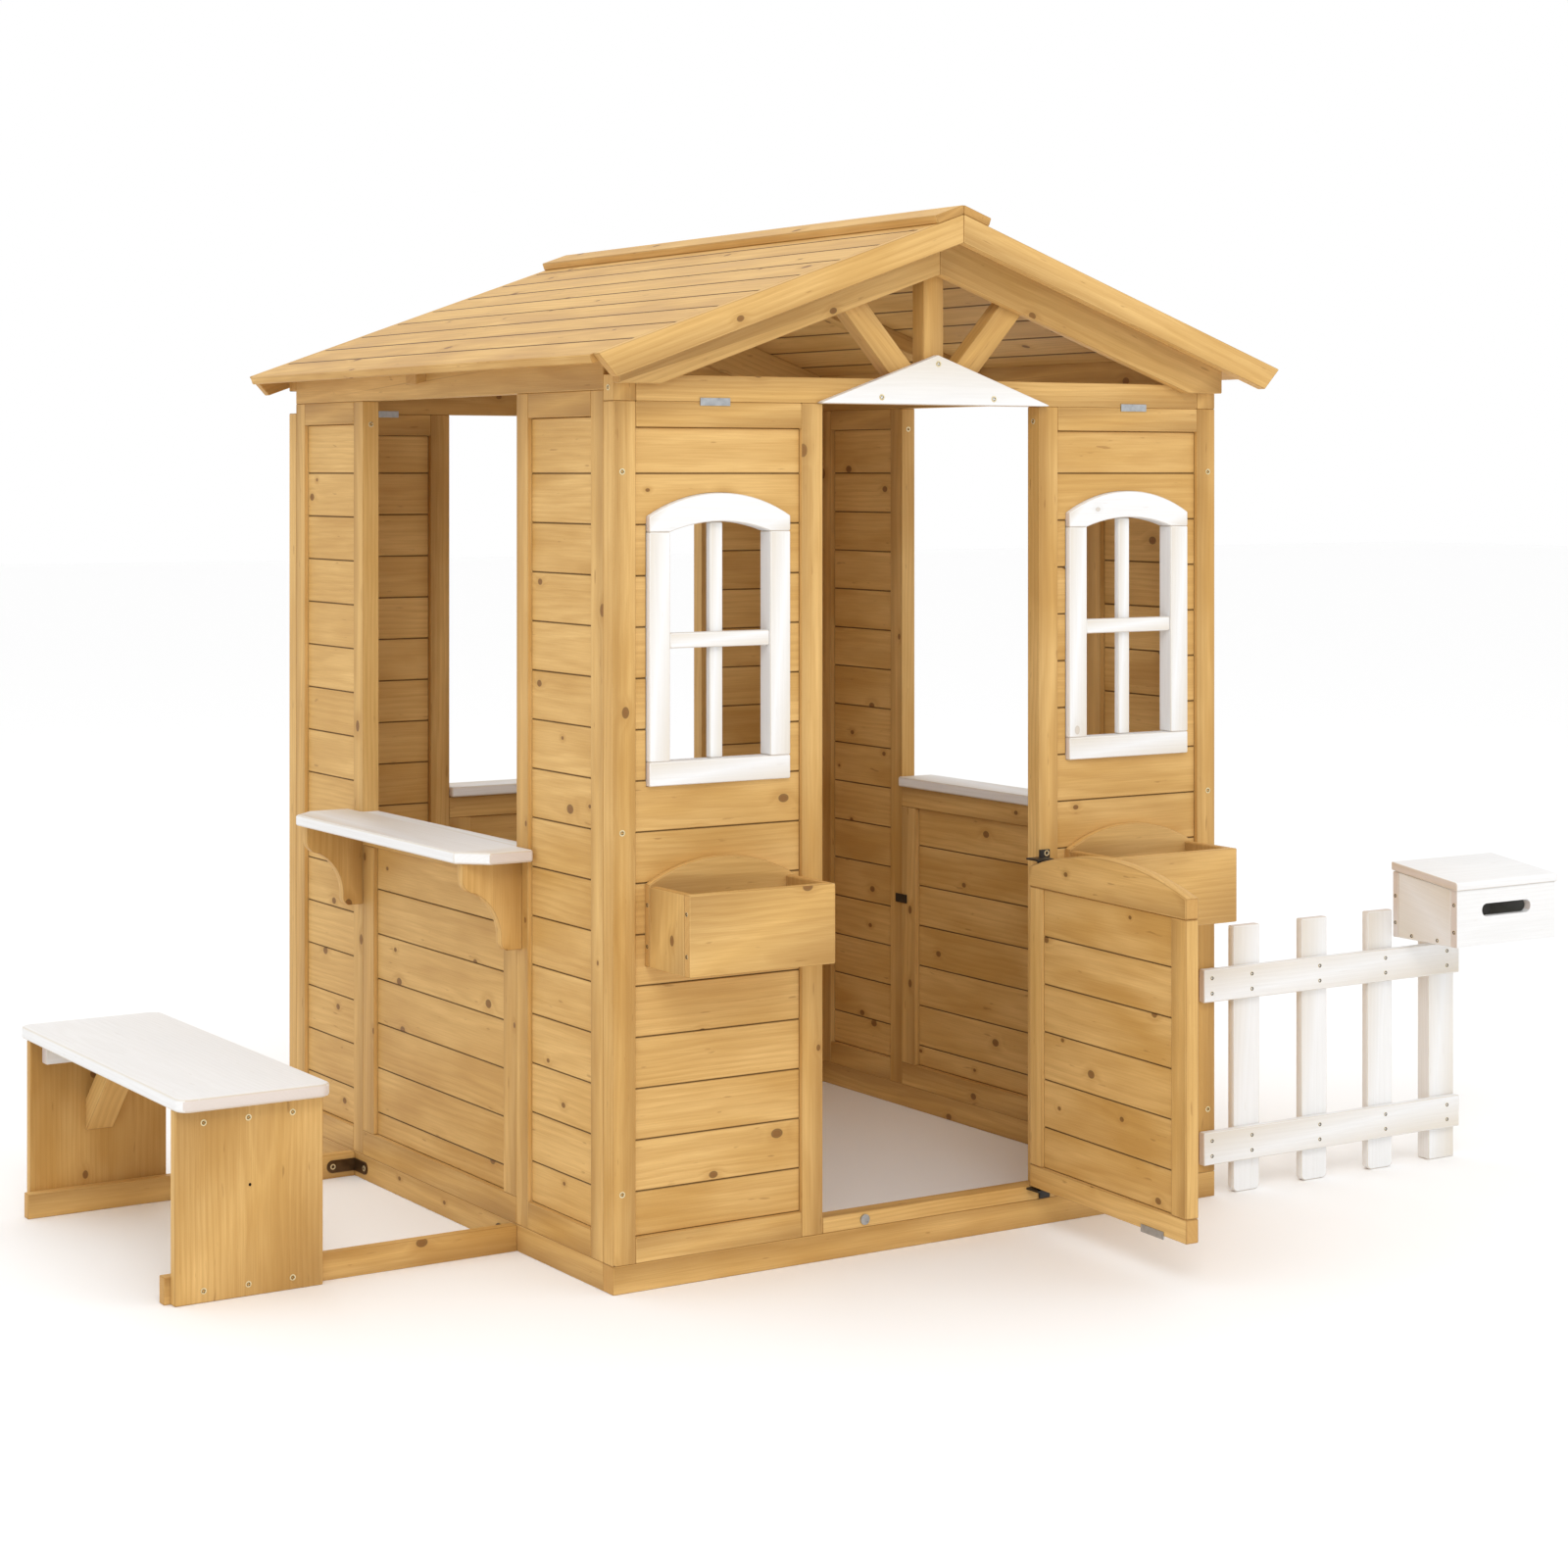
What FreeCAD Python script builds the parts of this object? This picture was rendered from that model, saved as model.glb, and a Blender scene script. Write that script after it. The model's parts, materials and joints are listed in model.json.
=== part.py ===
import FreeCAD, Part
import math
import os

# Wooden playhouse: four wall panels on a base ring, a boarded gable roof, a half door,
# a serving counter with a bench, two flower boxes, and a picket fence with a mailbox.
# Millimetres. +Z is up, +X runs along the front wall to the right, and +Y goes to the back wall.
# The origin is the middle of the front base board's underside.

# House
house_width = 990.0
house_depth = 1023.0
wall = 26.0                      # thickness of wall panels, base boards and headers
base_height = 36.0
front_panel_top = 1131.0         # top of the front and back panels
side_panel_step = 14.0           # side panels stand this much taller than the front ones
front_header_height = 34.0
header_block = 33.0              # width of the block at each end of the front header
side_header_rise = 50.8          # side header's height at its outer face
roof_slope = 19.5                # degrees

# Wall panels
stile = 33.0                     # width of a frame's upright
front_rail = 33.0
side_foot_rail = 36.0
front_panel_width = 316.5        # each front panel, beside the doorway
side_front_width = 238.0         # side panel between the front wall and the opening
side_back_width = 245.0          # side panel between the opening and the back wall
back_panel_width = 262.0
half_wall_top = 525.0
half_stile = 38.0
siding_thick = 12.0
siding_recess = 6.0              # siding sits this far behind the frame's outer face
siding_pitch = 65.2              # height of a siding board
siding_groove = 1.6              # chamfer on a siding board's edges
siding_first_joint = 126.0       # height of the lowest siding joint of a full panel
half_first_joint = 105.0         # the same for a half wall

# Roof
roof_board_thick = 12.0
roof_side_overhang = 60.4        # side wall's face to the roof's edge, level
roof_boards_per_side = 9
roof_front_overhang = 55.0
bargeboard_thick = 15.5
bargeboard_width = 36.0
bargeboard_tip = 27.0            # horizontal length of the cut at a bargeboard's lower end
ridge_width = 40.0
ridge_thick = 12.0
chord_height = 61.0              # across the slope
chord_thick = 16.0
chord_foot_drop = 12.0           # header top to the level cut at a front chord's foot
king_post_width = 33.0
brace_width = 35.0
brace_angle = 48.0               # degrees from the horizontal
brace_gap = 1.5                  # king post to a brace's foot on the header
brace_lap = 30.0                 # how far a brace runs up behind the chord
gable_board_thick = 10.0
gable_board_height = 68.7
rafter_width = 34.0
rafter_height = 25.0
rafter_middle = 558.0            # from the front wall's face to the rafter's middle
rafter_tail = 15.0               # how far a rafter stands out past the side wall

# Door pediment
pediment_lap = 14.0              # past each side of the doorway
pediment_rise = 67.0
pediment_thick = 12.0

# Windows
window_width = 213.0
window_crown_drop = 117.0        # panel top to the window's crown
window_height = 374.0
window_shoulder = 30.0           # crown to shoulder
window_stile = 31.0
window_foot_rail = 31.0
window_arch_foot = 50.0          # crown to the foot of the arched piece
window_inner_drop = 37.0         # crown to the inner crown
window_depth = 26.0
window_proud = 2.0
window_bar = 20.0
window_bar_thick = 10.0
window_bar_height = 175.0        # window foot to the level bar's underside
window_fit = 0.5

# Counter and sills
sill_thick = 16.0
counter_reach = 100.0
counter_overhang = 50.0          # past each end of the opening, outside the wall
counter_clip = 36.0
sill_inner = 8.0
sill_outer = 34.0
corbel_thick = 16.0
corbel_reach = 88.0
corbel_drop = 120.0
corbel_nose = 22.0
corbel_lip = 19.0                # round lip under the nose
corbel_cove = 8.0                # how far the cove bites past its chord
corbel_toe = 14.0
corbel_foot = 28.0

# Flower boxes
flower_width = 218.0
flower_height = 103.0
flower_reach = 105.0             # in front of the wall's face
flower_board = 12.0
flower_gap = 126.0               # window foot to the box's top
flower_back_shoulder = 2.0
flower_back_crown = 32.0
flower_cleat = 14.0

# Half door
door_thick = 20.0
door_gap = 4.0                   # front wall to the closed door
door_lift = 21.0                 # base board to the door's underside
door_side_height = 440.0
door_crown = 30.0
door_stile = 33.0
door_foot_rail = 31.0
door_head_rail = 27.0            # top rail's height at the door's edges
door_siding_thick = 12.0
door_latch_lap = 7.0
door_hinge_lap = 2.0
door_edge_radius = 6.0
door_first_joint = 56.0          # foot rail to the lowest siding joint
door_open_angle = 86.0           # degrees that the door stands open
pivot_inset = 12.0               # door's hinge edge to the pivot
pivot_radius = 3.0
pivot_clearance = 0.1
pivot_depth = 14.0
pivot_leaf = 2.5
pivot_arm = 26.0
pivot_leg = 17.0                 # width of the bracket's leg on the doorway's stile
pivot_leg_drop = 6.5             # upper leg, below its leaf
pivot_leg_rise = 12.0            # upper leg, above its leaf
pivot_leaf_lap = 5.5             # how far a leaf runs along its leg
pivot_head_gap = 9.5             # door's upper corner to the upper bracket's leaf
pivot_foot_gap = 2.5
magnet_radius = 7.0
magnet_thick = 2.5
magnet_inset = 66.0              # doorway's latch side to the magnet
strike_length = 50.0
strike_thick = 1.2
strike_drop = 4.0
strike_lap = 6.0

# Bench
bench_gap = 283.0                # left wall to the seat
seat_width = 207.0
seat_length = 614.0
seat_front = 222.0               # front wall's face to the seat's near end
seat_top = 262.0
seat_thick = 17.0
seat_corner = 18.0
leg_width = 200.0
leg_thick = 15.0
leg_inset = 25.0                 # seat's end to the leg
rail_height = 35.0
rail_thick = 16.0
rail_run = 5.0                   # how far a ground rail runs past the seat's outer edge
cleat_height = 32.0
cleat_thick = 18.0
cleat_inset = 17.0
bench_brace_low = 110.0          # foot of a brace on the leg
bench_brace_height = 45.0        # brace's height where it meets the leg
bench_brace_width = 40.0
bench_brace_screw = 12.0         # brace's top corner at the leg to its screw, level
bracket_leg = 45.0
bracket_thick = 2.0
bracket_width = 18.0

# Fence and mailbox
fence_board = 12.0
fence_lap = 30.0                 # rail's lap on the front wall
fence_length = 474.0             # right wall to the rails' end
fence_low_rail = 48.0
fence_high_rail = 281.0
fence_rail_height = 47.5
picket_width = 50.0
picket_height = 385.0
picket_first = 35.0              # right wall to the first picket
picket_pitch = 131.0
picket_count = 3
picket_corner = 9.0
post_width = 52.0
post_thick = 24.0
post_height = 440.0
mail_width = 202.0
mail_depth = 133.0
mail_floor_height = 344.0
mail_back_height = 100.0
mail_front_height = 83.0
mail_past_fence = 76.0           # rails' end to the mailbox's right side
mail_slot_length = 100.0
mail_slot_height = 19.0
mail_slot_drop = 22.0
lid_thick = 12.5
lid_overhang = 3.0
lid_gap = 0.5
lid_nose = 5.0
hinge_radius = 3.0
hinge_pin_radius = 1.5
hinge_clearance = 0.06
hinge_length = 30.0
hinge_leaf_thick = 1.2
hinge_leaf_height = 18.0
hinge_inset = 26.0
hinge_knuckle_gap = 0.4

# Hardware
screw_head = 4.2                 # radius
screw_proud = 0.6
screw_shank = 1.9
screw_length = 22.0
short_screw = 14.0               # through the bench brackets
long_screw = 40.0                # in the house's corners and headers
box_screw = 30.0
screw_sink = 2.2
clip_length = 45.0
clip_height = 10.0
clip_thick = 1.5
clip_place = 150.0
mending_length = 30.0
mending_height = 14.0
mending_thick = 2.0
mending_level = 341.0

# Worked out from the sizes above
left = -house_width / 2
right = house_width / 2
front = -wall / 2
back = front + house_depth
tan_slope = math.tan(math.radians(roof_slope))
cos_slope = math.cos(math.radians(roof_slope))
side_panel_top = front_panel_top + side_panel_step
eave_under = side_panel_top + side_header_rise
apex_under = eave_under + tan_slope * house_width / 2
front_header_top = front_panel_top + front_header_height
door_left = left + front_panel_width
door_right = right - front_panel_width
opening_front = front + wall + side_front_width
opening_back = back - wall - side_back_width
roof_front = front - roof_front_overhang
roof_edge = house_width / 2 + roof_side_overhang
roof_board_width = roof_edge / cos_slope / roof_boards_per_side
pediment_half_base = door_right + pediment_lap
sides = (-1, 1)

os.makedirs("parts", exist_ok=True)


def save(name, solids):
    """Writes one node: a single solid, or a group of separate ones."""
    shape = solids[0] if len(solids) == 1 else Part.makeCompound(solids)
    shape.exportStep("parts/" + name + ".step")
    print(name, len(solids))


def block(x0, x1, y0, y1, z0, z1):
    return Part.makeBox(x1 - x0, y1 - y0, z1 - z0, FreeCAD.Vector(x0, y0, z0))


def prism(points, run):
    """A flat polygon of 3-D points, carried along a vector."""
    corners = [FreeCAD.Vector(*p) for p in points]
    face = Part.Face(Part.makePolygon(corners + corners[:1]))
    return face.extrude(FreeCAD.Vector(*run))


def plate_xz(points, y0, y1):
    return prism([(x, y0, z) for x, z in points], (0, y1 - y0, 0))


def plate_yz(points, x0, x1):
    return prism([(x0, y, z) for y, z in points], (x1 - x0, 0, 0))


def plate_xy(points, z0, z1):
    return prism([(x, y, z0) for x, y in points], (0, 0, z1 - z0))


def cylinder(radius, length, place, axis):
    return Part.makeCylinder(radius, length, FreeCAD.Vector(*place), FreeCAD.Vector(*axis))


def grooved(d0, d1, z0, z1):
    """Section of a siding board: a rectangle with its four long edges chamfered."""
    g = siding_groove
    return [(d0 + g, z0), (d1 - g, z0), (d1, z0 + g), (d1, z1 - g),
            (d1 - g, z1), (d0 + g, z1), (d0, z1 - g), (d0, z0 + g)]


def joints(z0, z1, first):
    """Heights of the siding joints between two rails, with both rails' edges."""
    lines = [z0]
    level = first
    while level < z1 - siding_pitch / 5:
        if level > z0 + siding_pitch / 5:
            lines.append(level)
        level += siding_pitch
    return lines + [z1]


def siding_along_x(x0, x1, y0, levels, thick=siding_thick):
    boards = []
    for z0, z1 in zip(levels, levels[1:]):
        boards.append(plate_yz(grooved(y0, y0 + thick, z0, z1), x0, x1))
    return boards


def siding_along_y(x0, y0, y1, levels):
    boards = []
    for z0, z1 in zip(levels, levels[1:]):
        boards.append(plate_xz(grooved(x0, x0 + siding_thick, z0, z1), y0, y1))
    return boards


def frame_along_x(x0, x1, y0, z0, z1, foot, head, post, rails_run_through=False):
    """A panel's two stiles and two rails, in a wall that runs along X."""
    y1 = y0 + wall
    if rails_run_through:
        return [block(x0, x1, y0, y1, z0, z0 + foot),
                block(x0, x1, y0, y1, z1 - head, z1),
                block(x0, x0 + post, y0, y1, z0 + foot, z1 - head),
                block(x1 - post, x1, y0, y1, z0 + foot, z1 - head)]
    return [block(x0, x0 + post, y0, y1, z0, z1),
            block(x1 - post, x1, y0, y1, z0, z1),
            block(x0 + post, x1 - post, y0, y1, z0, z0 + foot),
            block(x0 + post, x1 - post, y0, y1, z1 - head, z1)]


def frame_along_y(x0, y0, y1, z0, z1, foot, head, post, rails_run_through=False):
    """The same in a wall that runs along Y."""
    pieces = frame_along_x(y0, y1, 0, z0, z1, foot, head, post, rails_run_through)
    turned = []
    for piece in pieces:
        box = piece.BoundBox
        turned.append(block(x0, x0 + wall, box.XMin, box.XMax, box.ZMin, box.ZMax))
    return turned


def side_wall_x(side):
    """Inner-to-outer start of a side wall, as the lower X of its panel."""
    return left if side < 0 else right - wall


def slope_point(side, along, up):
    """Along the slope from the apex of the roof's underside, and up across it."""
    x = along * cos_slope + up * math.sin(math.radians(roof_slope))
    z = apex_under - along * math.sin(math.radians(roof_slope)) + up * cos_slope
    return (side * x, z)


def under_roof(x):
    return apex_under - tan_slope * abs(x)


# ---- Base ring and threshold
def make_base():
    save("base_front_board", [block(left, right, front, front + wall, 0, base_height)])
    save("base_back_board", [block(left, right, back - wall, back, 0, base_height)])
    y0 = front + wall
    y1 = back - wall
    save("base_side_boards", [block(left, left + wall, y0, y1, 0, base_height),
                              block(right - wall, right, y0, y1, 0, base_height)])
    save("door_threshold", [block(door_left, door_right, front, front + wall,
                                  base_height, base_height + door_lift)])


# ---- Windows
window_crown = front_panel_top - window_crown_drop
window_foot = window_crown - window_height
window_middle = house_width / 2 - front_panel_width / 2


def arch_points(half, rise):
    """Radius of the arc that spans twice half and rises by rise."""
    return (half * half + rise * rise) / (2 * rise)


def arc_edge(p0, p1, p2):
    return Part.Arc(FreeCAD.Vector(*p0), FreeCAD.Vector(*p1), FreeCAD.Vector(*p2)).toShape()


def line_edge(p0, p1):
    return Part.LineSegment(FreeCAD.Vector(*p0), FreeCAD.Vector(*p1)).toShape()


def window_frame(middle):
    y0 = front - window_proud
    y1 = y0 + window_depth
    half = window_width / 2
    inner = half - window_stile
    shoulder = window_crown - window_shoulder
    arch_foot = window_crown - window_arch_foot
    inner_crown = window_crown - window_inner_drop
    edges = [line_edge((middle - half, y0, arch_foot), (middle - half, y0, shoulder)),
             arc_edge((middle - half, y0, shoulder), (middle, y0, window_crown),
                      (middle + half, y0, shoulder)),
             line_edge((middle + half, y0, shoulder), (middle + half, y0, arch_foot)),
             line_edge((middle + half, y0, arch_foot), (middle + inner, y0, arch_foot)),
             arc_edge((middle + inner, y0, arch_foot), (middle, y0, inner_crown),
                      (middle - inner, y0, arch_foot)),
             line_edge((middle - inner, y0, arch_foot), (middle - half, y0, arch_foot))]
    arch = Part.Face(Part.Wire(edges)).extrude(FreeCAD.Vector(0, y1 - y0, 0))
    foot_top = window_foot + window_foot_rail
    return [arch,
            block(middle - half, middle + half, y0, y1, window_foot, foot_top),
            block(middle - half, middle - inner, y0, y1, foot_top, arch_foot),
            block(middle + inner, middle + half, y0, y1, foot_top, arch_foot)]


def window_bars(middle):
    y0 = front
    inner = window_width / 2 - window_stile
    inner_crown = window_crown - window_inner_drop
    rise = window_arch_foot - window_inner_drop
    radius = arch_points(inner, rise)
    corner_drop = radius - math.sqrt(radius ** 2 - (window_bar / 2) ** 2)
    bar_low = window_foot + window_bar_height
    level = block(middle - inner, middle + inner, y0, y0 + window_bar_thick,
                  bar_low, bar_low + window_bar)
    upright = block(middle - window_bar / 2, middle + window_bar / 2,
                    y0 + window_bar_thick, y0 + 2 * window_bar_thick,
                    window_foot + window_foot_rail, inner_crown - corner_drop - window_fit)
    return [level, upright]


# ---- Wall panels
def front_siding(x0, x1, middle):
    """Siding of a front panel: whole boards, and short ones beside the window."""
    y0 = front + siding_recess
    levels = joints(base_height + front_rail, front_panel_top - front_rail, siding_first_joint)
    shoulder = window_crown - window_shoulder
    hole_left = middle - window_width / 2 - window_fit
    hole_right = middle + window_width / 2 + window_fit
    boards = []
    for z0, z1 in zip(levels, levels[1:]):
        if z1 <= window_foot or z0 >= window_crown:
            boards += siding_along_x(x0, x1, y0, [z0, z1])
            continue
        whole = siding_along_x(x0, x1, y0, [z0, z1])[0]
        if z0 < window_foot or z1 > shoulder:
            boards.append(whole.cut(window_hole(middle)))
        else:
            boards += siding_along_x(x0, hole_left, y0, [z0, z1])
            boards += siding_along_x(hole_right, x1, y0, [z0, z1])
    pieces = []
    for board in boards:
        pieces += board.Solids
    return pieces


def window_hole(middle):
    """What a window takes out of the siding, with its fitting gap."""
    half = window_width / 2 + window_fit
    y0 = front - wall
    shoulder = window_crown - window_shoulder
    low = window_foot - window_fit
    edges = [line_edge((middle - half, y0, low), (middle - half, y0, shoulder)),
             arc_edge((middle - half, y0, shoulder), (middle, y0, window_crown + window_fit),
                      (middle + half, y0, shoulder)),
             line_edge((middle + half, y0, shoulder), (middle + half, y0, low)),
             line_edge((middle + half, y0, low), (middle - half, y0, low))]
    return Part.Face(Part.Wire(edges)).extrude(FreeCAD.Vector(0, 3 * wall, 0))


def make_front_wall():
    frames = []
    siding = []
    for x0, x1, middle in ((left, door_left, -window_middle), (door_right, right, window_middle)):
        frames += frame_along_x(x0, x1, front, base_height, front_panel_top,
                                front_rail, front_rail, stile)
        siding += front_siding(x0 + stile, x1 - stile, middle)
    save("front_panel_frames", frames)
    save("front_panel_siding", siding)
    save("window_frames", window_frame(-window_middle) + window_frame(window_middle))
    save("window_bars", window_bars(-window_middle) + window_bars(window_middle))


def make_side_wall(name, side):
    x0 = side_wall_x(side)
    siding_x = x0 + siding_recess if side < 0 else x0 + wall - siding_recess - siding_thick
    levels = joints(base_height + side_foot_rail, side_panel_top - stile, siding_first_joint)
    frames = []
    siding = []
    for y0, y1 in ((front + wall, opening_front), (opening_back, back - wall)):
        frames += frame_along_y(x0, y0, y1, base_height, side_panel_top,
                                side_foot_rail, stile, stile)
        siding += siding_along_y(siding_x, y0 + stile, y1 - stile, levels)
    save(name + "_panel_frames", frames)
    save(name + "_panel_siding", siding)


def make_back_wall():
    y0 = back - wall
    siding_y = back - siding_recess - siding_thick
    levels = joints(base_height + front_rail, front_panel_top - front_rail, siding_first_joint)
    frames = []
    siding = []
    for x0, x1 in ((left, left + back_panel_width), (right - back_panel_width, right)):
        frames += frame_along_x(x0, x1, y0, base_height, front_panel_top,
                                front_rail, front_rail, stile)
        siding += siding_along_x(x0 + stile, x1 - stile, siding_y, levels)
    save("back_panel_frames", frames)
    save("back_panel_siding", siding)


def make_half_walls():
    """Low walls under the left, right and back openings, and the sills on two of them."""
    levels = joints(base_height + side_foot_rail, half_wall_top - stile, half_first_joint)
    frames = []
    siding = []
    for side in sides:
        x0 = side_wall_x(side)
        siding_x = x0 + siding_recess if side < 0 else x0 + wall - siding_recess - siding_thick
        frames += frame_along_y(x0, opening_front, opening_back, base_height, half_wall_top,
                                side_foot_rail, stile, half_stile, True)
        siding += siding_along_y(siding_x, opening_front + half_stile,
                                 opening_back - half_stile, levels)
    x0 = left + back_panel_width
    x1 = right - back_panel_width
    frames += frame_along_x(x0, x1, back - wall, base_height, half_wall_top,
                            side_foot_rail, stile, half_stile, True)
    siding += siding_along_x(x0 + half_stile, x1 - half_stile,
                             back - siding_recess - siding_thick, levels)
    save("half_wall_frames", frames)
    save("half_wall_siding", siding)
    z1 = half_wall_top + sill_thick
    save("sills", [block(right - wall - sill_inner, right + sill_outer,
                         opening_front, opening_back, half_wall_top, z1),
                   block(x0, x1, back - wall - sill_inner, back + sill_outer,
                         half_wall_top, z1)])


# ---- Counter
def corbel_outline(y0):
    """Face of a corbel: level top, upright nose with a round lip, a deep cove, round foot."""
    top = half_wall_top
    nose_x = left - corbel_reach
    foot_x = left - corbel_foot
    foot_z = top - corbel_drop
    lip_z = top - corbel_nose

    def at(x, z):
        return (x, y0, z)

    lip_end = at(nose_x + corbel_lip, lip_z - corbel_lip)
    cove_end = at(foot_x - 3.0, foot_z + corbel_toe)
    cove_x = (lip_end[0] + cove_end[0]) / 2 + corbel_cove
    cove_z = (lip_end[2] + cove_end[2]) / 2 + corbel_cove
    edges = [line_edge(at(left, top), at(nose_x, top)),
             line_edge(at(nose_x, top), at(nose_x, lip_z)),
             arc_edge(at(nose_x, lip_z), at(nose_x + 0.3 * corbel_lip, lip_z - 0.7 * corbel_lip),
                      lip_end),
             arc_edge(lip_end, at(cove_x, cove_z), cove_end),
             arc_edge(cove_end, at(foot_x, foot_z + 0.28 * corbel_toe),
                      at(foot_x + 6.0, foot_z)),
             line_edge(at(foot_x + 6.0, foot_z), at(left, foot_z)),
             line_edge(at(left, foot_z), at(left, top))]
    return Part.Face(Part.Wire(edges))


def make_counter():
    x_in = left + wall
    x_out = left - counter_reach
    near = opening_front - counter_overhang
    far = opening_back + counter_overhang
    clip = counter_clip
    outline = [(x_in, opening_front), (x_in, opening_back), (left, opening_back), (left, far),
               (x_out + clip, far), (x_out, far - clip), (x_out, near + clip),
               (x_out + clip, near), (left, near), (left, opening_front)]
    save("counter_shelf", [plate_xy(outline, half_wall_top, half_wall_top + sill_thick)])
    run = FreeCAD.Vector(0, corbel_thick, 0)
    save("counter_corbels", [corbel_outline(opening_front - corbel_thick).extrude(run),
                             corbel_outline(opening_back).extrude(run)])


# ---- Headers, trusses and roof
def make_headers():
    z0 = front_panel_top
    z1 = front_header_top
    y1 = front + wall
    save("front_header", [block(left, left + header_block, front, y1, z0, z1),
                          block(left + header_block, right - header_block, front, y1, z0, z1),
                          block(right - header_block, right, front, y1, z0, z1)])
    save("back_header", [block(left + wall, right - wall, back - wall, back, z0, z1)])
    notch_y0 = front + rafter_middle - rafter_width / 2
    notch_y1 = notch_y0 + rafter_width
    headers = []
    for side in sides:
        outer = side * house_width / 2
        inner = side * (house_width / 2 - wall)
        section = [(outer, side_panel_top), (outer, under_roof(outer)),
                   (inner, under_roof(inner)), (inner, side_panel_top)]
        beam = plate_xz(section, front + wall, back - wall)
        drop = rafter_height / cos_slope
        notch = plate_xz([(outer, under_roof(outer) - drop), (outer, apex_under),
                          (inner, apex_under), (inner, under_roof(inner) - drop)],
                         notch_y0, notch_y1)
        headers.append(beam.cut(notch))
    save("side_headers", headers)


def chord(side, y0, y1, foot_z):
    """A truss chord: under the roof boards, with a level cut at its foot."""
    drop = chord_height / cos_slope
    outer = side * house_width / 2
    foot_x = side * (apex_under - drop - foot_z) / tan_slope
    return plate_xz([(outer, foot_z), (outer, under_roof(outer)), (0, apex_under),
                     (0, apex_under - drop), (foot_x, foot_z)], y0, y1)


def truss_brace(side):
    """A brace from the header up to the back of the chord, level at its foot."""
    lean = math.tan(math.radians(brace_angle))
    level_width = brace_width / math.sin(math.radians(brace_angle))
    foot_in = king_post_width / 2 + brace_gap
    foot_out = foot_in + level_width
    top_line = apex_under - (chord_height - brace_lap) / cos_slope
    corners = []
    for foot in (foot_in, foot_out):
        rise = (top_line - tan_slope * foot - front_header_top) / (1 + tan_slope / lean)
        corners.append((side * (foot + rise / lean), front_header_top + rise))
    return plate_xz([(side * foot_in, front_header_top), corners[0], corners[1],
                     (side * foot_out, front_header_top)], front, front + wall)


def gable_board(z0, z1, y0, y1):
    """A level board of the back gable, cut to the roof's two slopes."""
    half = house_width / 2
    low = min(half, (apex_under - z0) / tan_slope)
    high = min(half, (apex_under - z1) / tan_slope)
    points = [(-low, z0), (low, z0)]
    if low == half and high < half:
        points.append((half, eave_under))
    if high > 0.01:
        points += [(high, z1), (-high, z1)]
    else:
        points.append((0, apex_under))
    if low == half and high < half:
        points.append((-half, eave_under))
    return plate_xz(points, y0, y1)


def make_trusses():
    foot_z = front_header_top - chord_foot_drop
    save("front_truss_chords", [chord(s, front - chord_thick, front, foot_z) for s in sides])
    half = king_post_width / 2
    save("king_post", [plate_xz([(-half, front_header_top), (half, front_header_top),
                                 (half, under_roof(half)), (0, apex_under),
                                 (-half, under_roof(half))], front, front + wall)])
    save("truss_braces", [truss_brace(s) for s in sides])
    y1 = back - gable_board_thick
    y0 = back - wall
    strut_top = apex_under - chord_height / cos_slope - tan_slope * half
    chords = [chord(s, y0, y1, front_header_top) for s in sides]
    save("back_truss", chords + [block(-half, half, y0, y1, front_header_top, strut_top)])
    boards = []
    z0 = front_header_top
    while z0 < apex_under - 1.0:
        z1 = min(z0 + gable_board_height, apex_under)
        if apex_under - z1 < gable_board_height / 5:
            z1 = apex_under
        boards.append(gable_board(z0, z1, y1, back))
        z0 = z1
    save("back_gable_boards", boards)
    drop = rafter_height / cos_slope
    y0 = front + rafter_middle - rafter_width / 2
    rafters = []
    for s in sides:
        tail = s * (house_width / 2 + rafter_tail)
        rafters.append(plate_xz([(0, apex_under), (tail, under_roof(tail)),
                                 (tail, under_roof(tail) - drop), (0, apex_under - drop)],
                                y0, y0 + rafter_width))
    save("mid_rafters", rafters)


def roof_board(side, number):
    """One roof board with chamfered long edges; the first is mitred at the ridge."""
    g = siding_groove
    t = roof_board_thick
    start = number * roof_board_width
    end = start + roof_board_width
    if number == 0:
        near = [(0, 0), (-t * tan_slope, t)]
    else:
        near = [(start + g, 0), (start, g), (start, t - g), (start + g, t)]
    far = [(end - g, t), (end, t - g), (end, g), (end - g, 0)]
    points = [slope_point(side, along, up) for along, up in near + far]
    return plate_xz(points, roof_front, back)


def make_roof():
    for name, side in (("roof_boards_left", -1), ("roof_boards_right", 1)):
        save(name, [roof_board(side, n) for n in range(roof_boards_per_side)])
    top = roof_board_thick
    cap = top + ridge_thick
    y_front = roof_front - bargeboard_thick
    y_back = back + bargeboard_thick
    ridge = []
    for s in sides:
        corners = [(-top * tan_slope, top), (-cap * tan_slope, cap), (ridge_width, cap),
                   (ridge_width, top)]
        ridge.append(plate_xz([slope_point(s, a, u) for a, u in corners], y_front, y_back))
    save("ridge_cap", ridge)
    roof_top = apex_under + top / cos_slope
    drop = bargeboard_width / cos_slope
    for name, y0, y1 in (("front_bargeboards", y_front, roof_front),
                         ("back_bargeboards", back, y_back)):
        boards = []
        for s in sides:
            low_x = roof_edge - bargeboard_tip
            boards.append(plate_xz([(0, roof_top), (s * roof_edge, roof_top - tan_slope * roof_edge),
                                    (s * low_x, roof_top - tan_slope * low_x - drop),
                                    (0, roof_top - drop)], y0, y1))
        save(name, boards)
    base = front_panel_top
    save("door_pediment", [plate_xz([(-pediment_half_base, base), (pediment_half_base, base),
                                     (0, base + pediment_rise)], front - pediment_thick, front)])


# ---- Flower boxes
flower_top = window_foot - flower_gap


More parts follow.
